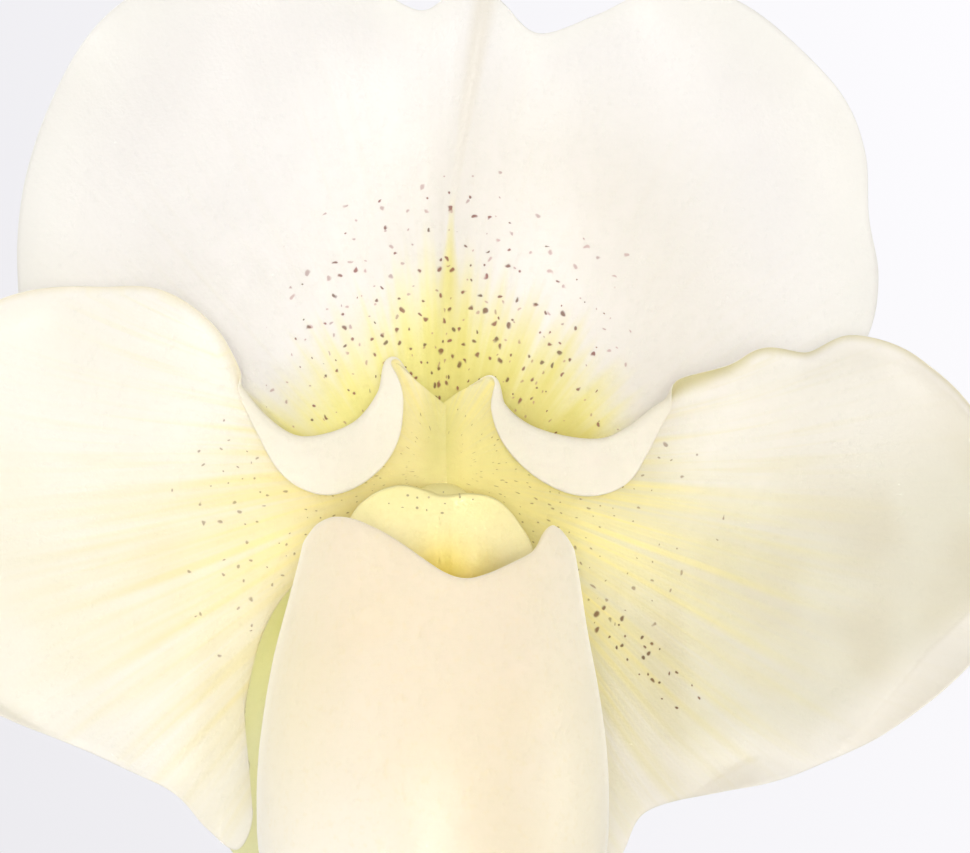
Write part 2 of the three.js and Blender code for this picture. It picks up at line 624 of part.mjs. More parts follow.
// The pouch's wall is two cups joined along the rim, with a claw at the back that carries it.
function lipGeometry() {
  const places = [];
  const triangles = [];
  const cup = (inset, flip) => {
    const start = places.length;
    places.push(pouchPoint(0, 0, inset).setX(POUCH_MIDDLE).setY(POUCH_PROFILE[0][3]));
    for (let ring = 1; ring <= POUCH_RINGS; ring += 1) {
      const rise = (ring / POUCH_RINGS) ** 1.5;
      for (let turn = 0; turn < POUCH_TURNS; turn += 1) {
        const angle = (2 * Math.PI * turn) / POUCH_TURNS;
        places.push(pouchPoint(angle > Math.PI ? angle - 2 * Math.PI : angle, rise, inset));
      }
    }
    const first = start + 1;
    const at = (ring, turn) => (ring === 0 ? start : first + (ring - 1) * POUCH_TURNS + (turn % POUCH_TURNS));
    const face = (a, b, c) => triangles.push(flip ? [a, c, b] : [a, b, c]);
    for (let ring = 0; ring < POUCH_RINGS; ring += 1) {
      for (let turn = 0; turn < POUCH_TURNS; turn += 1) {
        face(at(ring, turn), at(ring + 1, turn), at(ring + 1, turn + 1));
        if (ring > 0) {
          face(at(ring, turn), at(ring + 1, turn + 1), at(ring, turn + 1));
        }
      }
    }
    return (turn) => at(POUCH_RINGS, turn);
  };
  const outer = cup(0, true);
  const inner = cup(LIP_THICK, false);
  for (let turn = 0; turn < POUCH_TURNS; turn += 1) {
    triangles.push([outer(turn), outer(turn + 1), inner(turn + 1)]);
    triangles.push([outer(turn), inner(turn + 1), inner(turn)]);
  }
  const claw = sheet(stripSurface(6, 4, (t, j) => {
    const side = j / 2 - 1;
    const half = mix(2.4, 5.2, t * t);
    const y = mix(-0.5, -7.4, t) + 0.5 * side * side;
    return [POUCH_MIDDLE * t + side * half, y, mix(-7.4, -15.5, t ** 1.6)];
  }), LIP_THICK);
  return geometryFrom(solidOf(geometryOf(places, triangles)).add(solidOf(claw)));
}

// Column: a short stalk that ends in the bilobed shield.
function columnGeometry() {
  const outline = splineThrough(SHIELD_OUTLINE, true);
  const shield = sheet(roundSurface(24, 3, (turn, reach) => {
    const [x, z] = outline(turn).map((v, k) => mix(SHIELD_MIDDLE[k], v, reach));
    const lobes = -1.5 * bell((Math.abs(x) - 3.2) / 2.8) * bell((z + 7.5) / 4.5);
    const ridge = -0.7 * bell(x / 0.9);
    return [x, -11.9 + 0.34 * (z + 3) + 0.035 * x * x + lobes + ridge, z];
  }), SHIELD_THICK);
  const route = splineThrough([[0, 0.55, -4.7], [0, -3, -4.8], [0, -8, -5.4], [0, -13.2, -6.8]]);
  const oval = (t, angle) => {
    const reach = Math.hypot(COLUMN_TALL * Math.cos(angle), COLUMN_WIDE * Math.sin(angle));
    return (mix(1, 1.1, t) * COLUMN_WIDE * COLUMN_TALL) / reach;
  };
  const stalk = stem(route, oval, 12, 6);
  return geometryFrom(solidOf(stalk).add(solidOf(shield)));
}

// The assembly.
const group = new THREE.Group();

function place(name, geometry, colour, roughness = 0.6) {
  const material = new THREE.MeshStandardMaterial({ color: colour, roughness, metalness: 0 });
  const mesh = new THREE.Mesh(geometry, material);
  mesh.name = name;
  return mesh;
}

group.add(place('pot', potGeometry(), COLOURS.clay, 0.85));
group.add(place('potting_bark', barkGeometry(), COLOURS.bark, 0.95));
group.add(place('crown_main', crownGeometry(MAIN_AT, true), COLOURS.stem));
group.add(place('crown_side', crownGeometry(SIDE_AT, false), COLOURS.stem));
function addLeaves(name, at, leaves) {
  leaves.forEach((leaf, i) => {
    group.add(place(`${name}_${i + 1}`, leafGeometry(at, leaf), COLOURS.leaf, 0.45));
  });
}

addLeaves('leaf_main', MAIN_AT, MAIN_LEAVES);
addLeaves('leaf_side', SIDE_AT, SIDE_LEAVES);
group.add(place('flower_stalk', stalkGeometry(), COLOURS.stem));
group.add(place('bract', bractGeometry(), COLOURS.bract));
group.add(place('ovary', ovaryGeometry(), COLOURS.ovary));

const bloom = new THREE.Group();
bloom.position.set(...BLOOM_AT);
bloom.add(place('dorsal_sepal', dorsalGeometry(), COLOURS.sepal));
bloom.add(place('synsepal', synsepalGeometry(), COLOURS.sepal));
const petalRight = petalGeometry(RIGHT_UPPER, RIGHT_TIP, RIGHT_LOWER, RIGHT_ROLL, RIGHT_CURL, 1, 0.4);
const petalLeft = petalGeometry(LEFT_UPPER, LEFT_TIP, LEFT_LOWER, LEFT_ROLL, LEFT_CURL, -1, 2.1);
bloom.add(place('petal_right', petalRight, COLOURS.petal));
bloom.add(place('petal_left', petalLeft, COLOURS.petal));
bloom.add(place('lip', lipGeometry(), COLOURS.lip));
bloom.add(place('column', columnGeometry(), COLOURS.shield));
group.add(bloom);

export default group;
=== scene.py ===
"""A slipper orchid in flower, in a plain clay pot: the looks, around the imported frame."""
import math

import bpy
import numpy as np
from mathutils import Euler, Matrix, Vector


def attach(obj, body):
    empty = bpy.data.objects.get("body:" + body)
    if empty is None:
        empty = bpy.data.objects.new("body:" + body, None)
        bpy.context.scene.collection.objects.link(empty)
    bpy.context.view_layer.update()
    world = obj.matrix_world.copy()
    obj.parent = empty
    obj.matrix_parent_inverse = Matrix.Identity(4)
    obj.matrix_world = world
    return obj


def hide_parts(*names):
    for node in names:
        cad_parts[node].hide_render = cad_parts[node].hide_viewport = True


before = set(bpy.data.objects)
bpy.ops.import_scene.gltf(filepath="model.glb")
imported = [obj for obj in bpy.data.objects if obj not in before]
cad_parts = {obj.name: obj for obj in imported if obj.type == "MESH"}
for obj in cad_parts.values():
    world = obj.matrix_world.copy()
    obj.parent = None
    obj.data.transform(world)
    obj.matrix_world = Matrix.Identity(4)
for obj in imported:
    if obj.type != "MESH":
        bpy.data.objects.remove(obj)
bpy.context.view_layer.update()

# Lengths are in millimetres, as in the part's source, and turned to metres when a mesh is made.
MM = 0.001
GAP = 0.35

# Where things stand.
POT_HEIGHT = 104
POT_BASE_R = 41
POT_NECK_R = 51
POT_RIM_R = 57
POT_RIM_TALL = 23
POT_WALL = 5
POT_FLOOR = 7
DRAIN_R = 4.5
DRAIN_RING = 24
DRAIN_COUNT = 4
BARK_TOP = 90
MAIN_AT = (0, 3)
SIDE_AT = (4, 33)
CROWN_R = 5
CROWN_FOOT_R = 10
CROWN_DEEP = 20
CROWN_RISE = 20
SHEATH_STEP = 1.6
SHEATH_ANGLE = 1.35
BLOOM_AT = (0, -18, 345)
STALK_BACK = 21
STALK_R = 2.3
OVARY_DROP = 47
OVARY_FACE = 2.2
LEAF_THICK = 0.95
LIP_THICK = 0.9

# Ovary and stalk share this route behind the bloom, from its centre: y, z.
OVARY_ROUTE = [(OVARY_FACE, -2), (7, -2.2), (13.5, -5), (18.5, -13), (20.6, -26), (STALK_BACK, -OVARY_DROP)]
OVARY_RADII = [4.6, 3.1, 3.3, 3.5, 3.2, 2.3]

# Outlines, in millimetres from the bloom's centre: x to the right, z up.
DORSAL_MIDDLE = (0, 20)
DORSAL_OUTLINE = [
    (0, -0.8), (8, -1.8), (17, -2.6), (27, -0.5), (35, 4.5), (39.2, 10.5), (40.4, 16), (39.5, 21.5),
    (39, 27.5), (36.5, 33), (30.5, 38.8), (25.5, 41.4), (20.5, 42.4), (14, 39.4), (8.8, 37.6), (5.6, 40.4),
    (2.8, 43.4), (0.4, 40.9), (-2, 39.6), (-6, 41.4), (-12, 44), (-19, 44.6), (-25.5, 43.2), (-31, 39.5),
    (-35.8, 32.5), (-38.4, 25.5), (-39.3, 17), (-38.2, 9), (-33, 2), (-25, -1.4), (-16, -2.6), (-8, -1.8),
]
# The dorsal sepal's midrib: its lean to the right, and the further lean above a height.
RIB_LEAN = 0.045
RIB_BEND = 0.11
RIB_BEND_AT = 22
SYNSEPAL_MIDDLE = (-2, -24)
SYNSEPAL_OUTLINE = [
    (0, -1.6), (7, -3), (13, -9), (16.5, -18), (16.5, -27), (14, -35), (8.5, -42), (-1, -45.5),
    (-10.5, -43.5), (-18, -37.5), (-22.4, -30), (-22.2, -21), (-18.5, -11.5), (-11, -4), (-5, -2),
]
RIGHT_UPPER = [
    (-0.1, 4), (2, 5.4), (4.4, 6.2), (5, 3.6), (7.4, 1.5), (11, 0.3), (14.6, 0.1), (17.4, 1.4), (20.6, 3.8),
    (26, 6.4), (29, 8.2), (33, 8), (37, 9.5), (41.5, 8.4), (45.8, 5.4), (49.3, 1.5),
]
RIGHT_TIP = [(49.3, 1.5), (51, -3), (51.4, -8), (50.6, -13), (48, -19)]
RIGHT_LOWER = [
    (-0.1, -4.2), (3, -5.2), (4.6, -8), (6, -17), (9.5, -28), (13, -35.5), (16, -36.6), (18.4, -32.6),
    (25, -30.6), (32.5, -29), (38.5, -26.5), (44, -22.4), (48, -19),
]
LEFT_UPPER = [
    (0.5, 4), (-2, 6), (-4.3, 7.8), (-4.8, 4.8), (-7, 1.9), (-10.2, 0.5), (-13.2, 0.4), (-16, 2.2),
    (-18.6, 5.4), (-21, 10.4), (-25.5, 13.6), (-31, 13.9), (-37, 13.6), (-42, 11.6), (-46.5, 7.5), (-49.6, 2),
]
LEFT_TIP = [(-49.6, 2), (-51, -3), (-50.8, -9), (-48.5, -16), (-44, -21.6)]
LEFT_LOWER = [
    (0.5, -4.2), (-3, -5), (-5, -6.4), (-10, -9), (-15, -14.4), (-17.2, -21), (-17.8, -27), (-17, -32.8),
    (-18.4, -36), (-21, -34), (-24, -30.6), (-29.4, -28.2), (-37, -25), (-44, -21.6),
]

# How far each petal's upper margin rolls forward past its fold, by its place along the margin.
ROLL_R = 0.7
ROLL_TURN = 2.9
RIGHT_ROLL = [
    (0, 0), (0.12, 0), (0.16, 1.6), (0.2, 2.6), (0.27, 4.6), (0.33, 6.3), (0.4, 6.5), (0.45, 4.6), (0.5, 3.1),
    (0.55, 2.1), (0.6, 1.2), (1, 0.6),
]
LEFT_ROLL = [
    (0, 0), (0.12, 0), (0.16, 2.2), (0.2, 3.7), (0.26, 6), (0.33, 7.3), (0.37, 6.4), (0.4, 5), (0.43, 3.6),
    (0.48, 2.5), (0.53, 1.7), (0.58, 1), (1, 0.6),
]

# Where a petal's lower margin curls forward: distance out along x, and the width of the curled band.
RIGHT_CURL = [(0, 0), (22, 0), (25, 1.6), (28.5, 2.6), (31.5, 1), (35, 0.3), (39, 2.6), (44, 4.8), (52, 6)]
LEFT_CURL = [(0, 0), (25, 0), (31, 1.4), (36, 0.4), (43, 2.4), (52, 3)]

# The pouch, by height: z, half width, half depth, and the y of its middle.
POUCH_PROFILE = [
    (-47.6, 0.6, 0.6, -20), (-47, 5, 4.6, -20), (-45, 9, 8.2, -20.2), (-41, 12.8, 11.4, -20.4),
    (-35, 15, 12.8, -20.2), (-27, 15.1, 12.8, -19.6), (-20, 14.2, 12, -18.6), (-14, 12.9, 10.8, -17.4),
    (-9, 11.9, 9.6, -16.4), (-4, 10.8, 8.6, -15.6),
]
POUCH_LOW = POUCH_PROFILE[0][0]
POUCH_TALL = 42
POUCH_MIDDLE = -0.5
POUCH_LEAN = 0.4

# Height of the pouch's rim by degrees round from its front: a notch in front, an ear on each side.
POUCH_RIM = [
    (-180, -10.5), (-130, -9.8), (-100, -8.8), (-80, -7.6), (-68, -6.5), (-56, -6), (-46, -6), (-37, -6.3),
    (-24, -7.2), (-14, -8.3), (-5, -9.5), (4, -10.7), (12.5, -11.2), (22, -10.7), (32, -9.9), (42, -9.2),
    (49, -8.6), (54, -7.6), (60, -6.8), (66, -6.7), (73, -7.3), (85, -8.5), (100, -9.2), (130, -10),
    (180, -10.5),
]

# Staminode, the bilobed shield at the column's end.
SHIELD_MIDDLE = (0, -8)
SHIELD_OUTLINE = [
    (0.2, -4.4), (2.6, -4.2), (4.8, -4.7), (6.5, -6.5), (7.7, -9.1), (6.2, -12), (2.8, -13.8), (0, -14.4),
    (-2.8, -13.8), (-6.2, -11.6), (-7.9, -8.4), (-7.2, -5.7), (-5.4, -4.1), (-3.3, -3.5), (-1.4, -3.9),
]

# Half width and half height of the column's stalk.
COLUMN_WIDE = 2.6
COLUMN_TALL = 1.7

# Camera: the photograph looks straight into the bloom from close by.
VIEW_DISTANCE = 400
VIEW_WIDTH = 87.3
VIEW_AIM = (3.96, 2.1)
SENSOR = 36

# Sheets of tissue: how thick they are inside and at their edge.
TISSUE_THICK = 0.7
PETAL_THICK = 0.6
EDGE_THICK = 0.14

# Down on stalk and ovary.
DOWN_LONG = 0.55
DOWN_WIDE = 0.035
STALK_HAIRS = 2600
OVARY_HAIRS = 1600

# Bark chips: how many, and how far their middles stay from the middle of a growth.
CHIP_COUNT = 330
CHIP_CLEAR = 10
CHIP_NEAR = 17


# Small maths, on arrays.
def mix(a, b, t):
    return a + (b - a) * t


def smooth(t):
    t = np.clip(t, 0, 1)
    return t * t * (3 - 2 * t)


def bell(t):
    return np.exp(-np.square(t))


def around(count):
    """Even angles round a circle."""
    return np.linspace(0, 2 * math.pi, count, endpoint=False)


def on_flat(x, z):
    return np.stack([x, z, 0 * x], -1)


def unit(vectors):
    """Vectors brought to a length of one."""
    return vectors / np.maximum(np.linalg.norm(vectors, axis=-1, keepdims=True), 1e-12)


def spline(points, t, closed=False):
    """Points of a smooth curve through the given ones, at places t from 0 to 1."""
    points = np.array(points, float)
    count = len(points)
    spans = count if closed else count - 1
    place = np.clip(np.asarray(t, float), 0, 1) * spans
    i = np.minimum(place.astype(int), spans - 1)
    f = (place - i)[..., None]

    def pick(k):
        return points[k % count] if closed else points[np.clip(k, 0, count - 1)]

    a, b, c, d = pick(i - 1), pick(i), pick(i + 1), pick(i + 2)
    slope_b, slope_c, rise = (c - a) / 2, (d - b) / 2, c - b
    return b + f * (slope_b + f * (3 * rise - 2 * slope_b - slope_c + f * (slope_b + slope_c - 2 * rise)))


def value_at(pairs, place):
    """Values by place in a list of (place, value, ...), straight between them."""
    pairs = np.array(pairs, float)
    found = [np.interp(place, pairs[:, 0], pairs[:, k]) for k in range(1, pairs.shape[1])]
    return found[0] if len(found) == 1 else found


def eased(pairs, place, step, reach):
    """Values by place, with the corners between the straight stretches softened."""
    return np.mean([value_at(pairs, place + step * k) for k in range(-reach, reach + 1)], axis=0)


def ripple(x, y, seed, octaves=3, size=1.0):
    """Smooth uneven waves over a plane, from sines in random directions, about -1 to 1."""
    draw = np.random.default_rng(seed)
    total = 0.0 * (x + y)
    for octave in range(octaves):
        for _ in range(4):
            angle, phase = draw.uniform(0, 2 * math.pi, 2)
            pitch = 2 ** octave / size * draw.uniform(0.75, 1.3)
            total += np.sin((x * math.cos(angle) + y * math.sin(angle)) * pitch + phase) / 2 ** octave / 3
    return total


# Surfaces: points on a grid, the faces between them, and facts about each point for the materials.
def grid_faces(rows, columns, wrap=False):
    i, j = np.meshgrid(np.arange(rows - 1), np.arange(columns if wrap else columns - 1), indexing="ij")
    here = i * columns + j
    beside = i * columns + (j + 1) % columns
    return np.stack([here, here + columns, beside + columns, beside], -1).reshape(-1, 4)


def vertex_normals(points, faces):
    normals = np.zeros_like(points)
    a, b, c, d = (points[faces[:, k]] for k in range(4))
    across = np.cross(c - a, d - b)
    for k in range(4):
        np.add.at(normals, faces[:, k], across)
    return unit(normals)


def rim_of(faces):
    """The outer edge of an open surface, as directed pairs of points."""
    pairs = np.concatenate([faces[:, [k, (k + 1) % 4]] for k in range(4)])
    pairs = pairs[pairs[:, 0] != pairs[:, 1]]
    known = set(map(tuple, pairs))
    return [(a, b) for a, b in known if (b, a) not in known]


def sheet(points, faces, thick, facts):
    """A closed sheet about a surface, with a rounded edge. thick is a number or one for each point."""
    count = len(points)
    normals = vertex_normals(points, faces)
    half = (np.broadcast_to(thick, count) / 2)[:, None]
    front = points + normals * half
    back = points - normals * half
    rim = rim_of(faces)
    ends = sorted({a for a, _ in rim})
    number = {a: 2 * count + k for k, a in enumerate(ends)}
    outward = np.zeros((count, 3))
    for a, b in rim:
        side = unit(np.cross(points[b] - points[a], normals[a] + normals[b]))
        outward[a] += side
        outward[b] += side
    edge = points[ends] + unit(outward[ends]) * half[ends] * 0.9
    places = np.concatenate([front, back, edge])
    quads = faces.tolist() + (faces[:, ::-1] + count).tolist()
    for a, b in rim:
        quads.append([b, a, number[a], number[b]])
        quads.append([number[b], number[a], a + count, b + count])
    kept = {name: np.concatenate([v, v, v[ends]]) for name, v in facts.items()}
    kept["side"] = np.concatenate([np.zeros(count), np.ones(count), np.full(len(ends), 0.5)])
    return places, quads, kept


def without_repeats(face):
    """A face's corners with neighbours that are alike taken out, as where a grid closes to a point."""
    return [c for k, c in enumerate(face) if c != face[k - 1]]


def strip(rows, columns):
    """Even places along and across a strip, for its points in order."""
    along, across = np.meshgrid(np.linspace(0, 1, rows), np.linspace(0, 1, columns), indexing="ij")
    return along.ravel(), across.ravel(), grid_faces(rows, columns)


def disc(middle, outline, turns, rings):
    """A flat round piece with an outline: its points' x and z, the middle first, how far out towards the edge
    each lies, and the faces."""
    reach, turn = np.meshgrid(np.arange(1, rings + 1) / rings, np.arange(turns) / turns, indexing="ij")
    reach = np.append(0, reach.ravel())
    edge = spline(outline, np.append(0, turn.ravel()), closed=True)
    x, z = (np.array(middle) + (edge - middle) * reach[:, None]).T
    k = np.arange(turns)
    hub = np.stack([0 * k, 1 + k, 1 + (k + 1) % turns, 0 * k], -1)
    return x, z, reach, np.concatenate([hub, grid_faces(rings, turns, wrap=True) + 1])


def placed(name, data):
    """A new object in the scene."""
    holder = bpy.data.objects.new(name, data)
    bpy.context.scene.collection.objects.link(holder)
    return holder


def mesh_object(name, points, faces):
    mesh = bpy.data.meshes.new(name)
    mesh.from_pydata((np.asarray(points) * MM).tolist(), [], [without_repeats(list(face)) for face in faces])
    return placed(name, mesh)


def smooth_shaded(mesh):
    mesh.polygons.foreach_set("use_smooth", np.ones(len(mesh.polygons), bool))


def make(name, shape, material, node, at=(0, 0, 0)):
    """A smooth mesh that rides on the part and stands for a node. Its shape is its points, its faces, and
    facts about each point, which it carries as attributes."""
    points, faces, facts = shape
    piece = mesh_object(name, points + np.array(at), faces)
    mesh = piece.data
    for key, values in facts.items():
        values = np.asarray(values, np.float32)
        kind, field = ("FLOAT_VECTOR", "vector") if values.ndim == 2 else ("FLOAT", "value")
        mesh.attributes.new(key, kind, "POINT").data.foreach_set(field, values.ravel())
    smooth_shaded(mesh)
    mesh.update()
    mesh.validate()
    mesh.materials.append(material)
    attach(piece, "root")
    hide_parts(node)
    return piece


# Materials: a small way to write node graphs.
class Wire:
    """A value on its way through a node graph, so that sums and products of it can be written as such."""

    def __init__(self, graph, socket):
        self.graph = graph
        self.socket = socket

    def __add__(self, other):
        return self.graph.math("ADD", self, other)

    def __sub__(self, other):
        return self.graph.math("SUBTRACT", self, other)

    def __rsub__(self, other):
        return self.graph.math("SUBTRACT", other, self)

    def __mul__(self, other):
        return self.graph.math("MULTIPLY", self, other)

    def __truediv__(self, other):
        return self.graph.math("DIVIDE", self, other)

    def __abs__(self):
        return self.graph.math("ABSOLUTE", self)

    __rmul__ = __mul__


class Graph:
    """The node graph of a material or of the world. Its methods add nodes and give back what comes out."""

    def __init__(self, owner):
        self.owner = owner
        owner.use_nodes = True
        self.tree = owner.node_tree
        self.tree.nodes.clear()

    def add(self, kind, inputs, out=0, **settings):
        """A new node's output by its number or name, or several of them."""
        node = self.tree.nodes.new(kind)
        for key, value in settings.items():
            setattr(node, key, value)
        for key, value in inputs.items():
            if isinstance(value, Wire):
                self.tree.links.new(value.socket, node.inputs[key])
            else:
                node.inputs[key].default_value = value
        if isinstance(out, tuple):
            return [Wire(self, node.outputs[key]) for key in out]
        return Wire(self, node.outputs[out])

    def math(self, operation, *values):
        return self.add("ShaderNodeMath", dict(enumerate(values)), operation=operation)

    def vector(self, operation, a, b, out=0):
        return self.add("ShaderNodeVectorMath", {0: a, 1: b}, out, operation=operation)

    def most(self, a, b):
        return self.math("MAXIMUM", a, b)

    def least(self, a, b):
        return self.math("MINIMUM", a, b)

    def span(self, a, b):
        """The distance from zero of the point with sides a and b."""
        return self.math("SQRT", a * a + b * b)

    def distance(self, point, x, y):
        return self.vector("DISTANCE", point, (x, y, 0), "Value")

    def blend(self, share, a, b):
        return self.add("ShaderNodeMix", {0: share, 6: a, 7: b}, 2, data_type="RGBA")

    def paint(self, colour, *layers):
        """A colour with others laid over it, each by its share."""
        for share, other in layers:
            colour = self.blend(share, colour, other)
        return colour

    def ramp(self, value, low, high, out_low, out_high, kind="LINEAR"):
        names = {"Value": value, "From Min": low, "From Max": high, "To Min": out_low, "To Max": out_high}
        return self.add("ShaderNodeMapRange", names, interpolation_type=kind)

    def step(self, value, low, high, out_low=0, out_high=1):
        return self.ramp(value, low, high, out_low, out_high, "SMOOTHSTEP")

    def fact(self, name, output="Fac"):
        return self.add("ShaderNodeAttribute", {}, output, attribute_name=name)

    def join(self, x, y=0, z=0):
        return self.add("ShaderNodeCombineXYZ", {0: x, 1: y, 2: z})

    def split(self, vector):
        return self.add("ShaderNodeSeparateXYZ", {0: vector}, (0, 1, 2))

    def noise(self, vector, scale, detail=2, rough=0.5, warp=0, out="Fac", flat=False):
        names = {"Vector": vector, "Scale": scale, "Detail": detail, "Roughness": rough, "Distortion": warp}
        return self.add("ShaderNodeTexNoise", names, out, noise_dimensions="2D" if flat else "3D")

    def place(self):
        """The point in the row frame, in millimetres."""
        spot = self.add("ShaderNodeTexCoord", {}, "Object")
        return self.add("ShaderNodeVectorMath", {0: spot, 3: 1 / MM}, operation="SCALE")

    def bump(self, height, distance, strength):
        return self.add("ShaderNodeBump", {"Height": height, "Distance": distance * MM, "Strength": strength})

    def surface(self, **inputs):
        return self.add("ShaderNodeBsdfPrincipled", {key.replace("_", " "): v for key, v in inputs.items()})

    def mixed(self, share, a, b):
        return self.add("ShaderNodeMixShader", {0: share, 1: a, 2: b})

    def living(self, colour, normal, clear, **inputs):
        """The finished material of a skin that lets a share of the light through."""
        skin = self.surface(Base_Color=colour, Normal=normal, **inputs)
        through = self.add("ShaderNodeBsdfTranslucent", {"Color": colour, "Normal": normal})
        return self.finish(self.mixed(clear, skin, through))

    def finish(self, shader, kind="Material"):
        self.add(f"ShaderNodeOutput{kind}", {0: shader}, ())
        return self.owner


def material_graph(name):
    return Graph(bpy.data.materials.new(name))


def tint(red, green, blue):
    """A colour as seen on screen, 0 to 255, as the light it stands for."""
    return tuple(((c / 255 + 0.055) / 1.055) ** 2.4 for c in (red, green, blue)) + (1.0,)


def flesh(red, green, blue):
    """A petal colour as seen on screen in full light, as the share of light that the tissue gives back."""
    return tuple(PETAL_SHARE * c for c in tint(red, green, blue)[:3]) + (1.0,)


def palette(**colours):
    return {key: flesh(*colour) for key, colour in colours.items()}


# Pale tissue gives back this share of the light.
PETAL_SHARE = 0.95
# rib colours the midrib's band, and is also the painted shade round the dorsal sepal's base, right of its
# middle.
WHITE = palette(
    main=(249, 246, 243), other=(251, 248, 245), edge=(251, 249, 244), back=(252, 250, 244),
    vein=(247, 243, 233), rib=(240, 234, 222), zone=(246, 238, 152), deep=(225, 214, 120), spot=(140, 62, 48),
)
GREENISH = palette(
    main=(255, 254, 224), other=(255, 253, 212), edge=(252, 251, 224), back=(246, 244, 214),
    vein=(244, 240, 164), zone=(248, 245, 168), deep=(222, 216, 92),
)
# crease is painted shade along the seam where the two petals meet.
CREAM = palette(
    main=(254, 250, 236), other=(253, 248, 230), edge=(254, 251, 244), back=(253, 249, 236),
    vein=(252, 246, 208), zone=(247, 235, 178), deep=(255, 243, 162), spot=(134, 92, 50),
    flap=(241, 232, 205), crease=(232, 224, 136),
)
# The right petal's tissue: darker copies of the cream colours above, which paint in the shade that falls on
# that petal. Its margins and curled band (edge), back and base (deep) stay light.
SHADED_CREAM = palette(
    main=(234, 230, 213), other=(229, 223, 203), edge=(252, 248, 240), back=(253, 248, 236),
    vein=(238, 230, 188), zone=(239, 230, 165), deep=(255, 243, 157), spot=(134, 92, 50),
    flap=(217, 208, 160), crease=(232, 224, 136),
)
DARK_SPOT = tint(98, 64, 28)
ROSE_SPOT = tint(178, 112, 108)
PALE_SPOT = tint(132, 104, 44)

# How many fine veins there are for each coarse one, and how far spots are shifted to make them uneven.
FINE_VEINS = 3.1
SPOT_DRIFT = 0.32


def spots(g, flat, size, density, cell, seed, fan=None, drift=(0, 0, 0)):
    """Small spots in a plane of millimetres, and a random draw for each. size and density may vary over it.
    fan is the point that drawn-out spots radiate from, and how far out they have their own width."""
    where = flat
    if fan:
        x, z, _ = g.split(flat)
        across = x - fan[0]
        along = z - fan[1]
        where = g.join(g.math("ARCTAN2", across, along) * fan[2], g.span(across, along) * 0.72)
    moved = g.vector("ADD", g.vector("ADD", where, (seed, seed * 0.7, 0)), drift)
    names = {"Vector": moved, "Scale": 1 / cell, "Randomness": 0.9}
    near, draw = g.add("ShaderNodeTexVoronoi", names, ("Distance", "Color"), voronoi_dimensions="2D")
    pick, grow, fade = g.split(draw)
    radius = size * g.math("MULTIPLY_ADD", grow, 0.75, 0.58)
    inside = g.step(near * cell, radius * 1.3, radius * 0.5)
    return inside * g.math("LESS_THAN", pick, density), fade


def tissue(name, colours, zone, streaks, marks=None, clear=0.3):
    """Petal tissue: colour by zone from the base, veins as streaks, spots, and light that passes through."""
    g = material_graph(name)
    flat = g.fact("flat", "Vector")
    vein, reach, edge, side = (g.fact(key) for key in ("vein", "reach", "edge", "side"))
    x, z, _ = g.split(flat)
    veins = g.noise(g.join(vein * streaks, reach * 0.02), 1, 2, 0.6)
    fine = g.noise(g.join(vein * (streaks * FINE_VEINS), reach * 0.05), 1, 1, flat=True)
    # The zone gives the yellow, the deeper yellow, and a share of painted light, which is laid on as the edge
    # colour.
    yellow, deep, pale = zone(g, x, z, veins)
    layers = [
        (g.most(g.step(edge, 0.75, 1), g.fact("band")), "edge"),
        (pale, "edge"),
        (g.fact("flap"), "flap"),
        (g.step(fine, 0.5, 0.8) * g.step(reach, 5, 14) * g.step(reach, 44, 24, 0.05, 0.3), "vein"),
        # The midrib's band, and painted shade round the dorsal sepal's base.
        (dorsal_rib_and_shade(g, x, z), "rib"),
        (yellow, "zone"),
        (deep, "deep"),
        # Painted shade: a darker, greener line down the seam where the two petals meet, for the fold there.
        (g.step(abs(x), 2.6, 0.2) * g.step(z, -4.5, 0.5) * 0.6, "crease"),
    ]
    cloud = g.step(g.noise(flat, 0.11, 1, flat=True), 0.35, 0.7)
    colour = g.blend(cloud, colours["main"], colours["other"])
    colour = g.paint(colour, *((share, colours[key]) for share, key in layers if key in colours))
    front = g.step(side, 0.4, 0.1)
    drift = g.vector("MULTIPLY", g.noise(flat, 1.5, 0, out="Color", flat=True), (SPOT_DRIFT, SPOT_DRIFT, 0))
    for size, density, cell, seed, fan, dark, strength in marks(g, x, z) if marks else ():
        dots, fade = spots(g, flat, size, density, cell, seed, fan, drift)
        colour = g.blend(dots * strength * front, colour, g.blend(fade, dark, colours["spot"]))
    colour = g.blend((1 - front) * 0.85, colour, colours["back"])
    height = fine * g.step(reach, 4, 14, 0.1, 0.5) + g.noise(flat, 3.2, 1, 0.6, flat=True) * 0.4
    return g.living(colour, g.bump(height, 0.12, 0.6), clear, Roughness=0.42, Specular_IOR_Level=0.4)


def off_rib(g, x, z):
    """Distance from the dorsal sepal's midrib, which leans to the right above its middle."""
    bend = g.most(z - RIB_BEND_AT, 0) * RIB_BEND
    return abs(x - g.math("MULTIPLY_ADD", z, RIB_LEAN, bend))


def dorsal_zone(g, x, z, veins):
    """Yellow-green at the dorsal sepal's base, drawn out along its veins, and a yellow foot of the midrib."""
    tent = abs(x - 0.5) / 24 + g.most(z, 0) / 18.5
    away = tent - (veins - 0.5) * 0.7
    core = g.step(off_rib(g, x, z), g.step(z, 9, 21, 3, 0.5), 0.1) * g.step(z, 24, 15)
    zone = g.step(away, 1.15, 0.5) * g.step(x, 23, 12)
    right = away - g.least(x, 9) * 0.035
    deep = g.step(right, 0.9, 0.1) * g.step(x, 18, 11) * 0.9
    return g.most(zone, core * 0.85), g.most(deep, core * 0.4), 0


def dorsal_rib_and_shade(g, x, z):
    """How far a point lies in the midrib's soft band, or in painted shade round the base, centred right of
    the middle.
    """
    band = g.step(off_rib(g, x, z), g.step(z, 8, 38, 0.7, 1.6), 0.3) * g.step(z, 6, 18)
    painted_shade = g.step(g.distance(g.join(x, z), 7, 13), 26, 11, 0, 0.85)
    return g.most(band, painted_shade) * 0.75


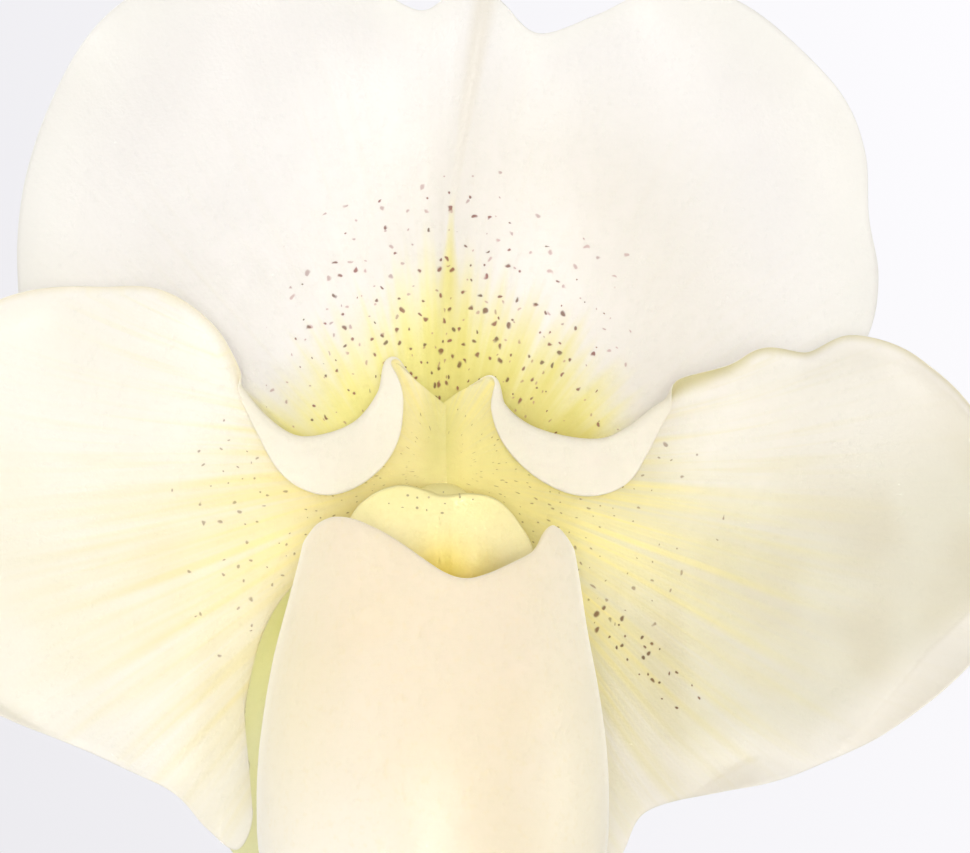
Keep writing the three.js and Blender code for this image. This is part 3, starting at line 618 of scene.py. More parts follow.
def dorsal_marks(g, x, z):
    """Fine dots in a fan over the base: dark and close below, small and rosy further out."""
    centre = x - 1
    away = g.span(centre / 16.5, (z - 7) / 17.5)
    sides = g.most(g.step(abs(centre), 11, 6, 0.35), g.step(z, 4, 8))
    there = g.step(z, -1, 0.5) * sides
    fan = (0.5, -8, 16)
    close = g.step(away, 1.02, 0.8) * there * g.step(away, 0.95, 0.2, 0.45, 0.9)
    dark = (g.step(away, 1, 0.1, 0.095, 0.165), close, 1.05, 3, fan, DARK_SPOT, 0.85)
    rosy = (0.1, g.step(away, 1.18, 0.9) * there * 0.65, 1.15, 17.3, fan, ROSE_SPOT, 0.5)
    return [dark, rosy]


def petal_zone(g, x, z, veins):
    """Yellow at a petal's base, thinning outwards in streaks, and painted light: the upper part and the lower
    inner part made paler, the upper part also less yellow.
    """
    reach = g.span(x, z + 6)
    away = reach / 38 - (veins - 0.5) * g.step(reach, 4, 16, 0.2, 1.05)
    rolled = g.most(g.fact("band"), g.fact("flap"))
    wide = abs(x)
    # Painted light: high is the petal's upper part and low its lower inner part and lower margin, both made
    # paler.
    high = g.step(z - (g.most(wide - 34, 0) * 0.35 + g.most(24 - wide, 0) * 0.5), -10, 4)
    margin = z - g.most(x - 33, 0) * 0.7
    low = g.most(g.step(z, -15, -28) * g.step(x, 25, 17), g.step(margin, -23, -28))
    zone = g.step(away, 1.05, 0.15) * g.step(rolled, 0, 1, 0.85, 0.25) * g.step(high, 0, 1, 1, 0.15)
    deep = g.step(away, 0.62, 0.05) * g.step(rolled, 0, 1, 0.85, 0.1)
    return zone, deep, g.most(high, low) * 0.8


def petal_marks(g, x, z):
    """Scattered fine dots, and on the right a close bold group below the middle."""
    reach = g.fact("reach")
    low = g.step(z, 4, -1) * g.step(z, -22, -14)
    fine = g.step(reach, 29, 14) * g.step(reach, 1.5, 3.5) * low * 0.85
    along = (x + z) * math.sqrt(0.5)
    down = (x - z) * math.sqrt(0.5)
    group = g.step(abs(along), 2.2, 1.2) * g.step(down, 19, 20.2) * g.step(down, 34, 29) * 0.95
    bold = (g.step(down, 33, 20, 0.12, 0.21), group, 1.15, 9, None, DARK_SPOT, 0.9)
    return [(0.098, fine, 1.15, 5, (0, -2, 15), PALE_SPOT, 0.6), bold]


def lip_material():
    """Waxy pale yellow, a little deeper inside and at the rim, with painted light: paler sides, most on the
    right, and a painted highlight low on the left.
    """
    g = material_graph("lip_wax")
    place = g.place()
    x = g.split(place)[0]
    fine = g.noise(place, 1.6, 1, 0.6)
    cloud = g.step(g.noise(place, 0.09, 1), 0.35, 0.7)
    # Painted light: the pouch's sides made paler, most on the right, where the lamps leave them darker.
    painted_side_light = g.blend(g.step(x, -5, 5), flesh(253, 241, 202), flesh(255, 246, 218))
    colour = g.paint(
        g.blend(cloud, flesh(237, 223, 195), flesh(237, 222, 190)),
        (g.step(abs(x - POUCH_MIDDLE), 6, 15) * 0.85, painted_side_light),
        # Painted highlight: paler towards the bottom, most on the left.
        (g.step(g.fact("height"), 0.75, 0.1) * g.step(x, 4, -9, 0.2, 1), flesh(253, 248, 236)),
        (g.step(fine, 0.52, 0.8) * 0.14, flesh(236, 216, 150)),
        (g.step(g.fact("side"), 0.3, 0.9) * 0.8, flesh(244, 224, 150)),
    )
    normal = g.bump(fine * 0.5 + g.noise(place, 0.5, 0), 0.12, 0.5)
    looks = {"Roughness": 0.36, "Specular_IOR_Level": 0.38, "Sheen_Weight": 0.6, "Sheen_Roughness": 0.5}
    return g.living(colour, normal, 0.12, **looks)


def shield_material():
    """The yellow shield: deeper towards its foot, with fine grains and one small dark spot."""
    g = material_graph("shield_wax")
    flat = g.fact("flat", "Vector")
    z = g.split(flat)[1]
    fine = g.noise(g.place(), 2.6, 1, 0.6)
    dots, _ = spots(g, flat, 0.11, g.step(z, -6.5, -3.5, 0, 0.8), 1.2, 31)
    colour = g.paint(
        g.blend(g.step(z, -2.5, -8), flesh(252, 242, 172), flesh(252, 240, 178)),
        (g.step(g.distance(flat, 0.4, -12.4), 6.5, 1), flesh(255, 228, 96)),
        (g.step(fine, 0.5, 0.8) * 0.15, flesh(250, 228, 136)),
        (g.step(g.distance(flat, 1.2, -12.2), 1.3, 0.2) * 0.6, flesh(176, 160, 60)),
        (dots * 0.6, DARK_SPOT),
    )
    return g.living(colour, g.bump(fine, 0.12, 0.5), 0.1, Roughness=0.4, Specular_IOR_Level=0.45)


def green_material(name, light, dark, blush, downy=0.25):
    """Stem, ovary or bract: green with darker lines along it and a breath of purple."""
    g = material_graph(name)
    place = g.place()
    lines = g.noise(g.join(g.fact("vein") * 16, g.fact("reach") * 0.05), 1)
    blushed = g.step(g.noise(place, 0.16, 3), 0.45, 0.75) * 0.5
    colour = g.paint(tint(*light), (g.step(lines, 0.35, 0.7), tint(*dark)), (blushed, tint(*blush)))
    normal = g.bump(lines * 0.6 + g.noise(place, 3) * 0.4, 0.18, 0.6)
    looks = {"Roughness": 0.5, "Sheen_Weight": downy, "Sheen_Roughness": 0.5}
    return g.finish(g.surface(Base_Color=colour, Normal=normal, **looks))


def leaf_material():
    """Leathery green: parallel veins, a pale keel, soft mottling, and a paler underside."""
    g = material_graph("leaf_skin")
    place = g.place()
    vein, reach, side = (g.fact(key) for key in ("vein", "reach", "side"))
    lines = g.noise(g.join(vein * 22, reach * 0.02), 1)
    grain = g.noise(place, 1.4, 3, 0.6)
    off_keel = abs(vein)
    under = g.step(side, 0.6, 0.9)
    colour = g.paint(
        g.blend(g.step(g.noise(place, 0.13, 4, 0.6, 0.6), 0.4, 0.62), tint(66, 104, 52), tint(84, 124, 62)),
        (g.step(lines, 0.5, 0.75) * 0.35, tint(52, 88, 44)),
        (g.step(g.noise(place, 0.03), 0.4, 0.7) * 0.35, tint(100, 134, 66)),
        (g.step(off_keel, 0.09, 0.015) * 0.45, tint(128, 156, 92)),
        (g.step(off_keel, 0.95, 1) * 0.5, tint(140, 160, 96)),
        (g.step(reach, 26, 6) * 0.7, tint(150, 160, 92)),
        (g.step(g.noise(place, 1.1), 0.6, 0.7) * g.step(reach, 22, 8) * 0.6, tint(96, 52, 58)),
        (under * 0.6, tint(126, 152, 92)),
    )
    normal = g.bump(lines * 0.8 + grain * 0.3, 0.16, 0.5)
    rough = g.step(under, 0, 1, 0.34, 0.6) + (grain - 0.5) * 0.2
    looks = {"Roughness": rough, "Specular_IOR_Level": 0.5, "Coat_Weight": 0.12, "Coat_Roughness": 0.25}
    return g.living(colour, normal, 0.1, **looks)


def clay_material():
    """Fired clay: mottled, with faint throwing lines, pale mineral bloom and damp darkening near the base."""
    g = material_graph("clay")
    place = g.place()
    z = g.split(place)[2]
    speck = g.noise(place, 0.9, 4, 0.65)
    rings = g.noise(g.join(0, 0, z), 0.9)
    salt = g.step(g.noise(place, 0.04, 3, 0.55), 0.48, 0.72)
    colour = g.paint(
        g.blend(g.step(g.noise(place, 0.045, 4, 0.6), 0.35, 0.68), tint(190, 112, 78), tint(206, 130, 94)),
        (g.step(speck, 0.52, 0.8) * 0.4, tint(160, 88, 60)),
        (g.step(rings, 0.5, 0.75) * 0.25, tint(174, 98, 68)),
        (salt * g.step(speck, 0.35, 0.6, 0.5, 1) * g.step(z, 100, 30, 0.4, 0.8) * 0.5, tint(222, 182, 156)),
        (g.step(z, 22, 0) * 0.35, tint(132, 78, 56)),
    )
    normal = g.bump(speck * 0.6 + rings * 0.7, 0.35, 0.6)
    return g.finish(g.surface(Base_Color=colour, Roughness=0.88, Normal=normal, Specular_IOR_Level=0.25))


def bark_material():
    """Bark chips: each its own brown, layered along the grain, with pale broken edges."""
    g = material_graph("bark_chips")
    layers = g.noise(g.vector("MULTIPLY", g.fact("grain", "Vector"), (0.25, 0.8, 2.4)), 1, 4, 0.65)
    speck = g.noise(g.place(), 1.8, 3, 0.6)
    colour = g.paint(
        g.blend(g.fact("pick"), tint(92, 60, 42), tint(150, 104, 72)),
        (g.step(layers, 0.42, 0.7) * 0.7, tint(66, 42, 30)),
        (g.step(speck, 0.55, 0.8) * 0.45, tint(178, 136, 100)),
    )
    normal = g.bump(layers + speck * 0.4, 0.6, 0.8)
    return g.finish(g.surface(Base_Color=colour, Roughness=0.9, Normal=normal, Specular_IOR_Level=0.2))


# The bloom.
def at_bloom(x, y, z):
    return np.stack([x + BLOOM_AT[0], y + BLOOM_AT[1], z + BLOOM_AT[2]], -1)


def dorsal_depth(x, z, edge):
    """Depth of the dorsal sepal: sides swept back, a groove along the midrib, and a waved margin."""
    rise = smooth(z / 16)
    swept = 0.0058 * x * x * mix(0.75, 1, rise)
    rib = RIB_LEAN * z + RIB_BEND * np.maximum(0, z - RIB_BEND_AT)
    groove = 0.5 * bell((x - rib) / 1.3) * smooth(z / 10)
    pillow = -1.6 * bell((abs(x) - 13) / 10) * bell((z - 20) / 16)
    wave = edge ** 4 * (0.9 * np.sin(0.42 * x + 0.8) * rise + 0.8 * np.sin(0.3 * z + 0.2 * x))
    return 1.2 + 1.7 * rise - 1.2 * smooth((z - 28) / 16) + swept + groove + pillow + wave


def make_sepal(name, x, y, z, faces, vein, edge, material):
    facts = {"flat": on_flat(x, z), "vein": vein, "reach": np.hypot(x, z), "edge": edge}
    shape = sheet(at_bloom(x, y, z), faces, mix(TISSUE_THICK, EDGE_THICK, edge ** 6), facts)
    make(f"{name}_tissue", shape, material, name)


def make_dorsal(material):
    x, z, edge, faces = disc(DORSAL_MIDDLE, DORSAL_OUTLINE, turns=420, rings=80)
    vein = np.arctan2(x, z + 9)
    ribs = 0.03 * np.sin(vein * 60) * smooth(z / 8) * (1 - 0.5 * edge ** 4)
    y = dorsal_depth(x, z, edge) + 0.28 * ripple(x, z, 3, 3, 7.0) * smooth(z / 10) + ribs
    make_sepal("dorsal_sepal", x, y, z, faces, vein, edge, material)


def make_synsepal(material):
    x, z, edge, faces = disc(SYNSEPAL_MIDDLE, SYNSEPAL_OUTLINE, turns=200, rings=42)
    down = smooth((-z - 7) / 14)
    vein = np.arctan2(x, 9 - z)
    wave = 0.4 * edge ** 3 * np.sin(0.35 * z + 0.4 * x)
    uneven = wave + 0.06 * np.sin(vein * 60) + 0.2 * ripple(x, z, 5, 3, 6.0)
    y = 1.2 - 2 * smooth((-z - 28) / 18) + down * (4.6 - 0.006 * (x + 2) ** 2 + uneven)
    make_sepal("synsepal", x, y, z, faces, vein, edge, material)


def petal_depth(x, z, down, phase, curl):
    """Depth of a petal. x is the distance out from the centre line, and down is 0 at the top margin and 1 at
    the lower. curl is how far a point lies inside the band that curls forward."""
    out = smooth((x - 1) / 12)
    arch = -0.4 - 2.4 * out + 6.5 * smooth((x - 22) / 34)
    hang = 3.4 * smooth((-z - 12) / 26) * out
    top = 2 * smooth((z - 2) / 12) * smooth((x - 16) / 12)
    valley = 1.9 * bell((z + 9 + 0.12 * x) / 4.5) * smooth((x - 16) / 18)
    margin = abs(2 * down - 1) ** 5 * smooth((x - 17) / 12)
    wave = margin * (1.7 * np.sin(0.38 * x + phase) - 0.6)
    lobe = smooth((23 - x) / 7) * smooth((-z - 8) / 10)
    ridge = bell((x - 22.5) / 2.6) * smooth((-z - 4) / 8)
    return arch + hang + top + valley + wave - 0.5 * curl + 0.4 * lobe - 0.6 * ridge


def petal_place(upper, tip, lower, curl, t, down, phase):
    top, low, end = spline(upper, t), spline(lower, t), spline(tip, down)
    corner, foot = np.array(upper[-1]), np.array(lower[-1])
    share = down[:, None]
    line = mix(top, low, share)
    bow = end - mix(corner, foot, share)
    x, z = (line + bow * t[:, None] ** 3).T
    above = (1 - down) * np.linalg.norm(top - low, axis=1)
    inside = np.maximum(0, value_at(curl, abs(x)) - above)
    return np.stack([x, petal_depth(abs(x), z, down, phase, inside), z], -1), inside


def make_petal(name, upper, tip, lower, roll, curl, mirror, phase, material):
    """A petal between its margins and its tip. Its upper margin rolls forward in a flap near the base."""
    rows = 230
    columns = 110
    rolled = 34

    def at(t, down):
        return petal_place(upper, tip, lower, curl, t, down, phase)

    t, place, faces = strip(rows, columns + rolled)
    column = np.rint(place * (columns + rolled - 1)) - rolled
    down = np.clip(column / (columns - 1), 0, 1)
    points, inside = at(t, down)
    x, z = points[:, 0], points[:, 2]
    vein = np.arctan2(z + 2, abs(x) + 1) + 0.03 * ripple(x, z, 41, 2, 9.0)
    out = smooth((abs(x) - 4) / 12)
    points[:, 1] += out * 0.22 * ripple(x, z, 11 + mirror, 3, 7.0)
    points[:, 1] += 0.035 * np.sin(vein * 75) * smooth((abs(x) - 12) / 12)
    ahead = unit(at(np.minimum(1, t + 0.02), 0 * t)[0] - at(np.maximum(0, t - 0.02), 0 * t)[0])
    outward = np.stack([-ahead[:, 2] * mirror, 0 * t, ahead[:, 0] * mirror], -1)
    across = at(t, 0 * t)[0] - at(t, 0 * t + 0.01)[0]
    slope = across[:, 1] / np.maximum(0.1, (across * outward).sum(1))
    slope = (np.clip(slope, -1, 1) * smooth((t - 0.48) / 0.08))[:, None]
    steep = np.hypot(1, slope)
    along = (outward + slope * (0, 1, 0)) / steep
    forward = (outward * slope - (0, 1, 0)) / steep
    wide = eased(roll, t, 0.015, 2)
    over = np.maximum(0, -column) / rolled
    reach = wide * over
    bend = mix(mix(0.4, ROLL_R, smooth((t - 0.13) / 0.08)), 6, smooth((t - 0.53) / 0.06))
    angle = np.minimum(reach / bend, ROLL_TURN)
    rest = np.maximum(0, reach - ROLL_TURN * bend)
    points += along * (bend * np.sin(angle) + rest * math.cos(ROLL_TURN))[:, None]
    points += forward * (bend * (1 - np.cos(angle)) + rest * math.sin(ROLL_TURN))[:, None]
    points[:, 1] += (0.35 + 0.05 * mirror) * bell(x / 1.4)
    if mirror > 0:
        faces = faces[:, ::-1]
    outer = smooth((t - 0.48) / 0.1) * (1 - down) ** 8
    edge = np.maximum.reduce([down ** 5, t ** 6, outer, over ** 2])
    facts = {"flat": on_flat(x, z), "vein": vein, "reach": np.hypot(x, z + 1), "edge": edge}
    facts |= {"band": smooth(inside / 0.8), "flap": smooth(reach / 1.5)}
    seam = np.clip(1 - t / 0.06, 0, 1)
    thick = mix(mix(PETAL_THICK, EDGE_THICK, edge), 0.06, seam)
    make(f"{name}_tissue", sheet(points + BLOOM_AT, faces, thick, facts), material, name)


def pouch_point(angle, rise, inset):
    """Points on the pouch's wall, by the angle from its front and the share of the height there."""
    z = mix(POUCH_LOW + inset, eased(POUCH_RIM, np.degrees(angle), 3, 1), rise)
    lookup = np.maximum(z - inset * 0.6 * (1 - rise), POUCH_LOW)
    ease = 1.3 * np.minimum(1, (lookup - POUCH_LOW) / 6)
    half_wide, half_deep, middle = eased(POUCH_PROFILE, lookup, ease, 2)
    x = POUCH_MIDDLE + POUCH_LEAN * smooth((z + 18) / 10) + np.maximum(0.3, half_wide - inset) * np.sin(angle)
    y = middle - np.maximum(0.3, half_deep - inset) * np.cos(angle)
    return x, y, z


def make_lip(material):
    """The pouch: outer and inner wall joined over a rounded rim, and the claw that carries it."""
    turns = 220
    rings = 110
    loops = []
    sides = []
    angles = around(turns)
    angles = np.where(angles > math.pi, angles - 2 * math.pi, angles)
    outer = (np.arange(1, rings + 1) / rings) ** 1.4
    for rise in outer:
        loops.append(np.stack(pouch_point(angles, rise, 0), -1))
        sides.append(0)
    for part in (0.25, 0.5, 0.75):
        x, y, z = pouch_point(angles, 1.0, LIP_THICK * part)
        loops.append(np.stack([x, y, z + 0.42 * math.sin(math.pi * part)], -1))
        sides.append(part)
    for rise in outer[::-1]:
        loops.append(np.stack(pouch_point(angles, rise, LIP_THICK), -1))
        sides.append(1)
    wall = np.concatenate(loops)
    count = len(wall)
    k = np.arange(turns)
    after = (k + 1) % turns
    last = count - turns
    hub = np.full(turns, count)
    caps = [np.stack([hub, after, k, hub], -1), np.stack([hub + 1, last + after, last + k, hub + 1], -1)]
    faces = np.concatenate([grid_faces(len(loops), turns, wrap=True)[:, ::-1], *caps])
    points = np.concatenate([wall, [wall[:turns].mean(0), wall[-turns:].mean(0)]])
    height = np.clip((points[:, 2] - POUCH_LOW) / POUCH_TALL, 0, 1)
    pouch = (points, faces.tolist(), {"side": np.append(np.repeat(sides, turns), [0, 1]), "height": height})
    t, across, faces = strip(rows=40, columns=24)
    across = 2 * across - 1
    x = POUCH_MIDDLE * t + across * mix(2.4, 5.2, t * t)
    y = mix(-0.5, -7.4, t) + 0.5 * across ** 2
    claw, faces, _ = sheet(np.stack([x, y, mix(-7.4, -15.5, t ** 1.6)], -1), faces, LIP_THICK, {})
    claw = (claw, faces, {"side": np.zeros(len(claw)), "height": np.ones(len(claw))})
    make("lip_pouch", joined([pouch, claw]), material, "lip", BLOOM_AT)


def tube(points, radii, sides):
    """A closed round stem through points, with its angle and its place along it."""
    forward = unit(np.gradient(points, axis=0))
    across = unit(np.array([1.0, 0, 0]) - forward * forward[:, :1])
    up = np.cross(forward, across)
    angle = around(sides)
    ring = across[:, None] * np.cos(angle)[None, :, None] + up[:, None] * np.sin(angle)[None, :, None]
    grid = points[:, None] + ring * np.asarray(radii)[..., None]
    rows = len(points)
    faces = grid_faces(rows, sides, wrap=True)[:, ::-1].tolist()
    faces += [list(range(sides))[::-1], list(range((rows - 1) * sides, rows * sides))]
    along = np.append(0, np.cumsum(np.linalg.norm(np.diff(points, axis=0), axis=1)))
    facts = {"vein": np.tile(angle, rows), "reach": np.repeat(along, sides), "side": np.zeros(rows * sides)}
    return grid.reshape(-1, 3), faces, facts


def joined(parts):
    """Several meshes' points, faces and facts as one."""
    places, faces, facts, start = [], [], {}, 0
    for points, quads, values in parts:
        places.append(points)
        faces += [[c + start for c in face] for face in quads]
        for key, value in values.items():
            facts.setdefault(key, []).append(value)
        start += len(points)
    return np.concatenate(places), faces, {key: np.concatenate(v) for key, v in facts.items()}


def make_column(material):
    """The column's short stalk and its bilobed shield."""
    x, z, _, faces = disc(SHIELD_MIDDLE, SHIELD_OUTLINE, turns=150, rings=36)
    lobes = -1.5 * bell((abs(x) - 3.2) / 2.8) * bell((z + 7.5) / 4.5)
    ridge = -0.7 * bell(x / 0.9)
    y = -11.9 + 0.34 * (z + 3) + 0.035 * x * x + lobes + ridge + 0.07 * ripple(x, z, 21, 3, 1.2)
    shield = sheet(np.stack([x, y, z], -1), faces, 1.3, {"flat": on_flat(x, z)})
    steps = 40
    knots = [(0, 0.55, -4.7), (0, -3, -4.8), (0, -8, -5.4), (0, -13.2, -6.8)]
    route = spline(knots, np.linspace(0, 1, steps))
    turn = around(steps)
    oval = 1 / np.hypot(np.cos(turn) / COLUMN_WIDE, np.sin(turn) / COLUMN_TALL)
    points, faces, facts = tube(route, np.linspace(1, 1.1, steps)[:, None] * oval, steps)
    stalk = (points, faces, {"flat": points[:, [0, 2, 1]] * (1, 1, 0), "side": facts["side"]})
    make("column_shield", joined([shield, stalk]), material, "column", BLOOM_AT)


def down_hairs(points, outward, count):
    """Short fine hairs that stand on a surface, each a slim three-sided spike."""
    draw = np.random.default_rng(5)
    chosen = draw.choice(len(points), count, replace=count > len(points))
    places = []
    faces = []
    for i in chosen:
        lean = unit(outward[i] + draw.normal(0, 0.25, 3))
        first = unit(np.cross(lean, (0.3, 0.5, 0.8)))
        second = np.cross(lean, first)
        foot = points[i] - lean * 0.1
        s = len(places)
        for turn in around(3):
            places.append(foot + (first * math.cos(turn) + second * math.sin(turn)) * DOWN_WIDE)
        places.append(foot + lean * DOWN_LONG * draw.uniform(0.6, 1.2))
        faces += [[s, s + 1, s + 3], [s + 1, s + 2, s + 3], [s + 2, s, s + 3], [s + 2, s + 1, s]]
    return np.array(places), faces


def make_downy(name, stem, count, material, node):
    points, faces, facts = stem
    normals = vertex_normals(points, np.array([face for face in faces if len(face) == 4]))
    hairs, hair_faces = down_hairs(points, normals, count)
    spare = {key: np.zeros(len(hairs)) for key in facts}
    make(name, joined([stem, (hairs, hair_faces, spare)]), material, node)


def make_stalk(material):
    """The flower stalk, gently bent, with short down."""
    x, y = MAIN_AT
    back = BLOOM_AT[1] + STALK_BACK
    top = BLOOM_AT[2] - OVARY_DROP - GAP
    low = BARK_TOP + CROWN_RISE - 12 + GAP
    rows = 160
    sides = 48
    knots = [
        (x, y, low), (x, y, mix(low, top, 0.12)), (x + 1.6, y + 1.4, mix(low, top, 0.42)),
        (x - 1, y + 1, mix(low, top, 0.74)), (BLOOM_AT[0], back, top - 8), (BLOOM_AT[0], back, top),
    ]
    radii = STALK_R * (1 + 0.03 * ripple(np.linspace(0, 60, rows)[:, None], np.ones((1, sides)), 2))
    stalk = tube(spline(knots, np.linspace(0, 1, rows)), radii, sides)
    make_downy("flower_stalk_skin", stalk, STALK_HAIRS, material, "flower_stalk")


def make_ovary(material):
    """The ribbed ovary, which bends from the stalk to the bloom."""
    t = np.linspace(0, 1, 140)
    sides = 60
    centre = spline([(BLOOM_AT[0], BLOOM_AT[1] + a, BLOOM_AT[2] + b) for a, b in OVARY_ROUTE], t)
    angle = around(sides)
    ribs = 1 + (0.07 * np.cos(6 * angle) + 0.02 * np.cos(18 * angle))[None] * np.sin(math.pi * t)[:, None]
    ovary = tube(centre, spline([(r,) for r in OVARY_RADII], t) * ribs, sides)
    make_downy("ovary_skin", ovary, OVARY_HAIRS, material, "ovary")


def make_bract(material):
    """The sheath that stands round the back of the ovary's foot."""
    tall = 36
    t, across, faces = strip(rows=70, columns=46)
    turn = (2 * across - 1) * (2.3 * np.sqrt(np.maximum(0, 1 - t ** 2.2)) + 0.12)
    ribs = 0.1 * np.sin(turn * 18) * smooth(t * 3)
    radius = STALK_R + GAP + 0.75 + 2.2 * smooth(t * 1.4) + 2.6 * t * t + ribs
    x = BLOOM_AT[0] - radius * np.sin(turn)
    y = BLOOM_AT[1] + STALK_BACK + radius * np.cos(turn)
    z = BLOOM_AT[2] - OVARY_DROP - 12 + tall * t
    facts = {"vein": turn, "reach": t * tall}
    shape = sheet(np.stack([x, y, z], -1), faces, mix(0.7, 0.45, t), facts)
    make("bract_skin", shape, material, "bract")


# Leaves. lean is a leaf's steepness at the base and at the tip, in degrees above level.
MAIN_LEAVES = [
    dict(layer=2, azimuth=-12, length=158, width=39, lean=(38, -28), sheath=0.1, twist=0.25, sway=-8),
    dict(layer=2, azimuth=170, length=150, width=37, lean=(40, -26), sheath=0.11, twist=-0.2, sway=8),
    dict(layer=1, azimuth=-6, length=182, width=41, lean=(58, -14), sheath=0.11, twist=-0.2, sway=6),
    dict(layer=1, azimuth=176, length=176, width=40, lean=(60, -12), sheath=0.12, twist=0.25, sway=-6),
    dict(layer=0, azimuth=-1, length=148, width=34, lean=(76, 18), sheath=0.18, twist=0.3, sway=7),
    dict(layer=0, azimuth=182, length=136, width=32, lean=(78, 24), sheath=0.2, twist=-0.3, sway=-7),
]
SIDE_LEAVES = [
    dict(layer=1, azimuth=9, length=112, width=30, lean=(48, -10), sheath=0.13, twist=0.2, sway=34),
    dict(layer=1, azimuth=171, length=104, width=28, lean=(52, -6), sheath=0.14, twist=-0.2, sway=-36),
    dict(layer=0, azimuth=8, length=84, width=23, lean=(72, 30), sheath=0.25, twist=0.25, sway=16),
    dict(layer=0, azimuth=172, length=72, width=20, lean=(78, 44), sheath=0.28, twist=-0.25, sway=-12),
]


def make_leaf(name, at, leaf, material, seed):
    """A strap leaf. Its base hugs the growth's stem, and its blade arches out and opens flat."""
    rows = 110
    columns = 44
    nest = CROWN_R + GAP + 0.5 + leaf["layer"] * SHEATH_STEP
    azimuth = math.radians(leaf["azimuth"])
    out = np.array([math.cos(azimuth), math.sin(azimuth), 0])
    across = np.array([-math.sin(azimuth), math.cos(azimuth), 0])
    up = np.array([0, 0, 1])
    length = leaf["length"]
    sheath = leaf["sheath"]
    low_lean, high_lean = leaf["lean"]
    along = np.linspace(0, 1, rows)
    turn = smooth((along - sheath) / (1 - sheath))
    slope = np.radians(mix(88, low_lean, smooth(along / sheath)) + (high_lean - low_lean) * turn)
    step = length / (rows - 1)
    r = nest + step * np.append(0, np.cumsum(np.cos(slope))[:-1])
    z = BARK_TOP - 2.2 + step * np.append(0, np.cumsum(np.sin(slope))[:-1])
    t, place, faces = strip(rows, columns)
    side = 2 * place - 1
    r, z, slope = (np.repeat(values, columns)[:, None] for values in (r, z, slope))
    start = 0.5 * sheath
    belly = mix(nest * SHEATH_ANGLE, leaf["width"] / 2, smooth((t - start) / 0.42))
    tip = np.sqrt(np.maximum(0, 1 - np.clip((t - 0.62) / 0.385, 0, 1) ** 2.4))
    half = np.maximum(1.0, belly * tip)
    bend = mix(nest, 90, smooth((t - start) / 0.3))
    fold = side * half / bend
    crease = 0.2 * smooth(t / 0.25) * half * abs(side) ** 1.5
    open_blade = smooth((t - 0.15) / 0.2)
    groove = -0.35 * bell(side * half / 1.3) * open_blade * (1 - t ** 6)
    wave = 0.5 * ripple(t * length, side * half, seed, 2, 13.0) * open_blade * abs(side)
    veins = 0.05 * np.cos(side * 40) * open_blade
    lift = bend * (1 - np.cos(fold)) + crease + groove + wave + veins
    spread = bend * np.sin(fold)
    twist = leaf["twist"] * t * t
    inward = up * np.cos(slope) - out * np.sin(slope)
    points = (*at, 0) + up * z + out * r + across * (spread * np.cos(twist) + leaf["sway"] * t * t)[:, None]
    points += inward * (lift + spread * np.sin(twist))[:, None]
    facts = {"vein": side, "reach": t * length}
    thick = LEAF_THICK * mix(1, 0.45, np.maximum(abs(side) ** 3, t ** 4))
    make(f"{name}_blade", sheet(points, faces, thick, facts), material, name)


def lathe(profile, sides, at=(0, 0)):
    """A turned body, closed on its axis at both ends."""
    profile = np.array(profile, float)
    angle = around(sides)
    radius = profile[1:-1, :1]
    x = at[0] + radius * np.cos(angle)
    y = at[1] + radius * np.sin(angle)
    points = np.stack([x, y, np.repeat(profile[1:-1, 1:], sides, 1)], -1).reshape(-1, 3)
    count = len(points)
    last = count - sides
    faces = grid_faces(len(radius), sides, wrap=True)[:, ::-1].tolist()
    for k in range(sides):
        after = (k + 1) % sides
        faces += [[count, after, k], [count + 1, last + k, last + after]]
    return np.concatenate([points, [(*at, profile[0, 1]), (*at, profile[-1, 1])]]), faces


def rounded(profile, radius=1.0, steps=5):
    """A profile with each inner corner turned into a short curve."""
    profile = [np.array(p, float) for p in profile]
    found = [profile[0]]
    for before, here, after in zip(profile, profile[1:], profile[2:]):
        near = min(radius, np.linalg.norm(before - here) / 2.2, np.linalg.norm(after - here) / 2.2)
        start = here + unit(before - here) * near
        end = here + unit(after - here) * near
        for t in np.linspace(0, 1, steps):
            found.append((1 - t) ** 2 * start + 2 * t * (1 - t) * here + t * t * end)
    return found + [profile[-1]]


def inside_radius(z):
    """The radius of the pot's inside at a height."""
    return mix(POT_BASE_R, POT_NECK_R, z / (POT_HEIGHT - POT_RIM_TALL)) - POT_WALL


def finer(profile, step=1.6):
    """A profile with points added along its long stretches."""
    found = [profile[0]]
    for a, b in zip(profile, profile[1:]):
        parts = max(1, int(np.linalg.norm(b - a) / step))
        found += [mix(a, b, k / parts) for k in range(1, parts + 1)]
    return found


def make_pot(material):
    """The clay pot, turned, slightly uneven, with holes in its floor."""
    neck = POT_HEIGHT - POT_RIM_TALL
    mouth = POT_RIM_R - POT_WALL
    profile = [
        (0, 0), (POT_BASE_R - 1.5, 0), (POT_BASE_R, 1.5), (POT_NECK_R, neck - 1), (POT_RIM_R - 1.5, neck),
        (POT_RIM_R, POT_HEIGHT - 2), (POT_RIM_R - 2, POT_HEIGHT), (mouth + 0.5, POT_HEIGHT),
        (mouth - 0.5, POT_HEIGHT - 2), (inside_radius(neck), neck), (inside_radius(POT_FLOOR), POT_FLOOR),
        (0, POT_FLOOR),
    ]
    points, faces = lathe(finer(rounded(profile, radius=1.6)), sides=112)
    x, y, z = points.T
    wall = smooth((np.hypot(x, y) - 30) / 8) * smooth(z / 6)
    uneven = 0.0022 * np.sin(z * 0.9) + 0.0016 * ripple(np.arctan2(y, x) * 8, z / 6, 31)
    points[:, :2] *= (1 + wall * uneven)[:, None]
    pot = make("pot_clay", (points, faces, {}), material, "pot")
    for angle in around(DRAIN_COUNT) + math.pi / DRAIN_COUNT:
        cut_hole(pot, (DRAIN_RING * math.cos(angle), DRAIN_RING * math.sin(angle)))
    smooth_shaded(pot.data)


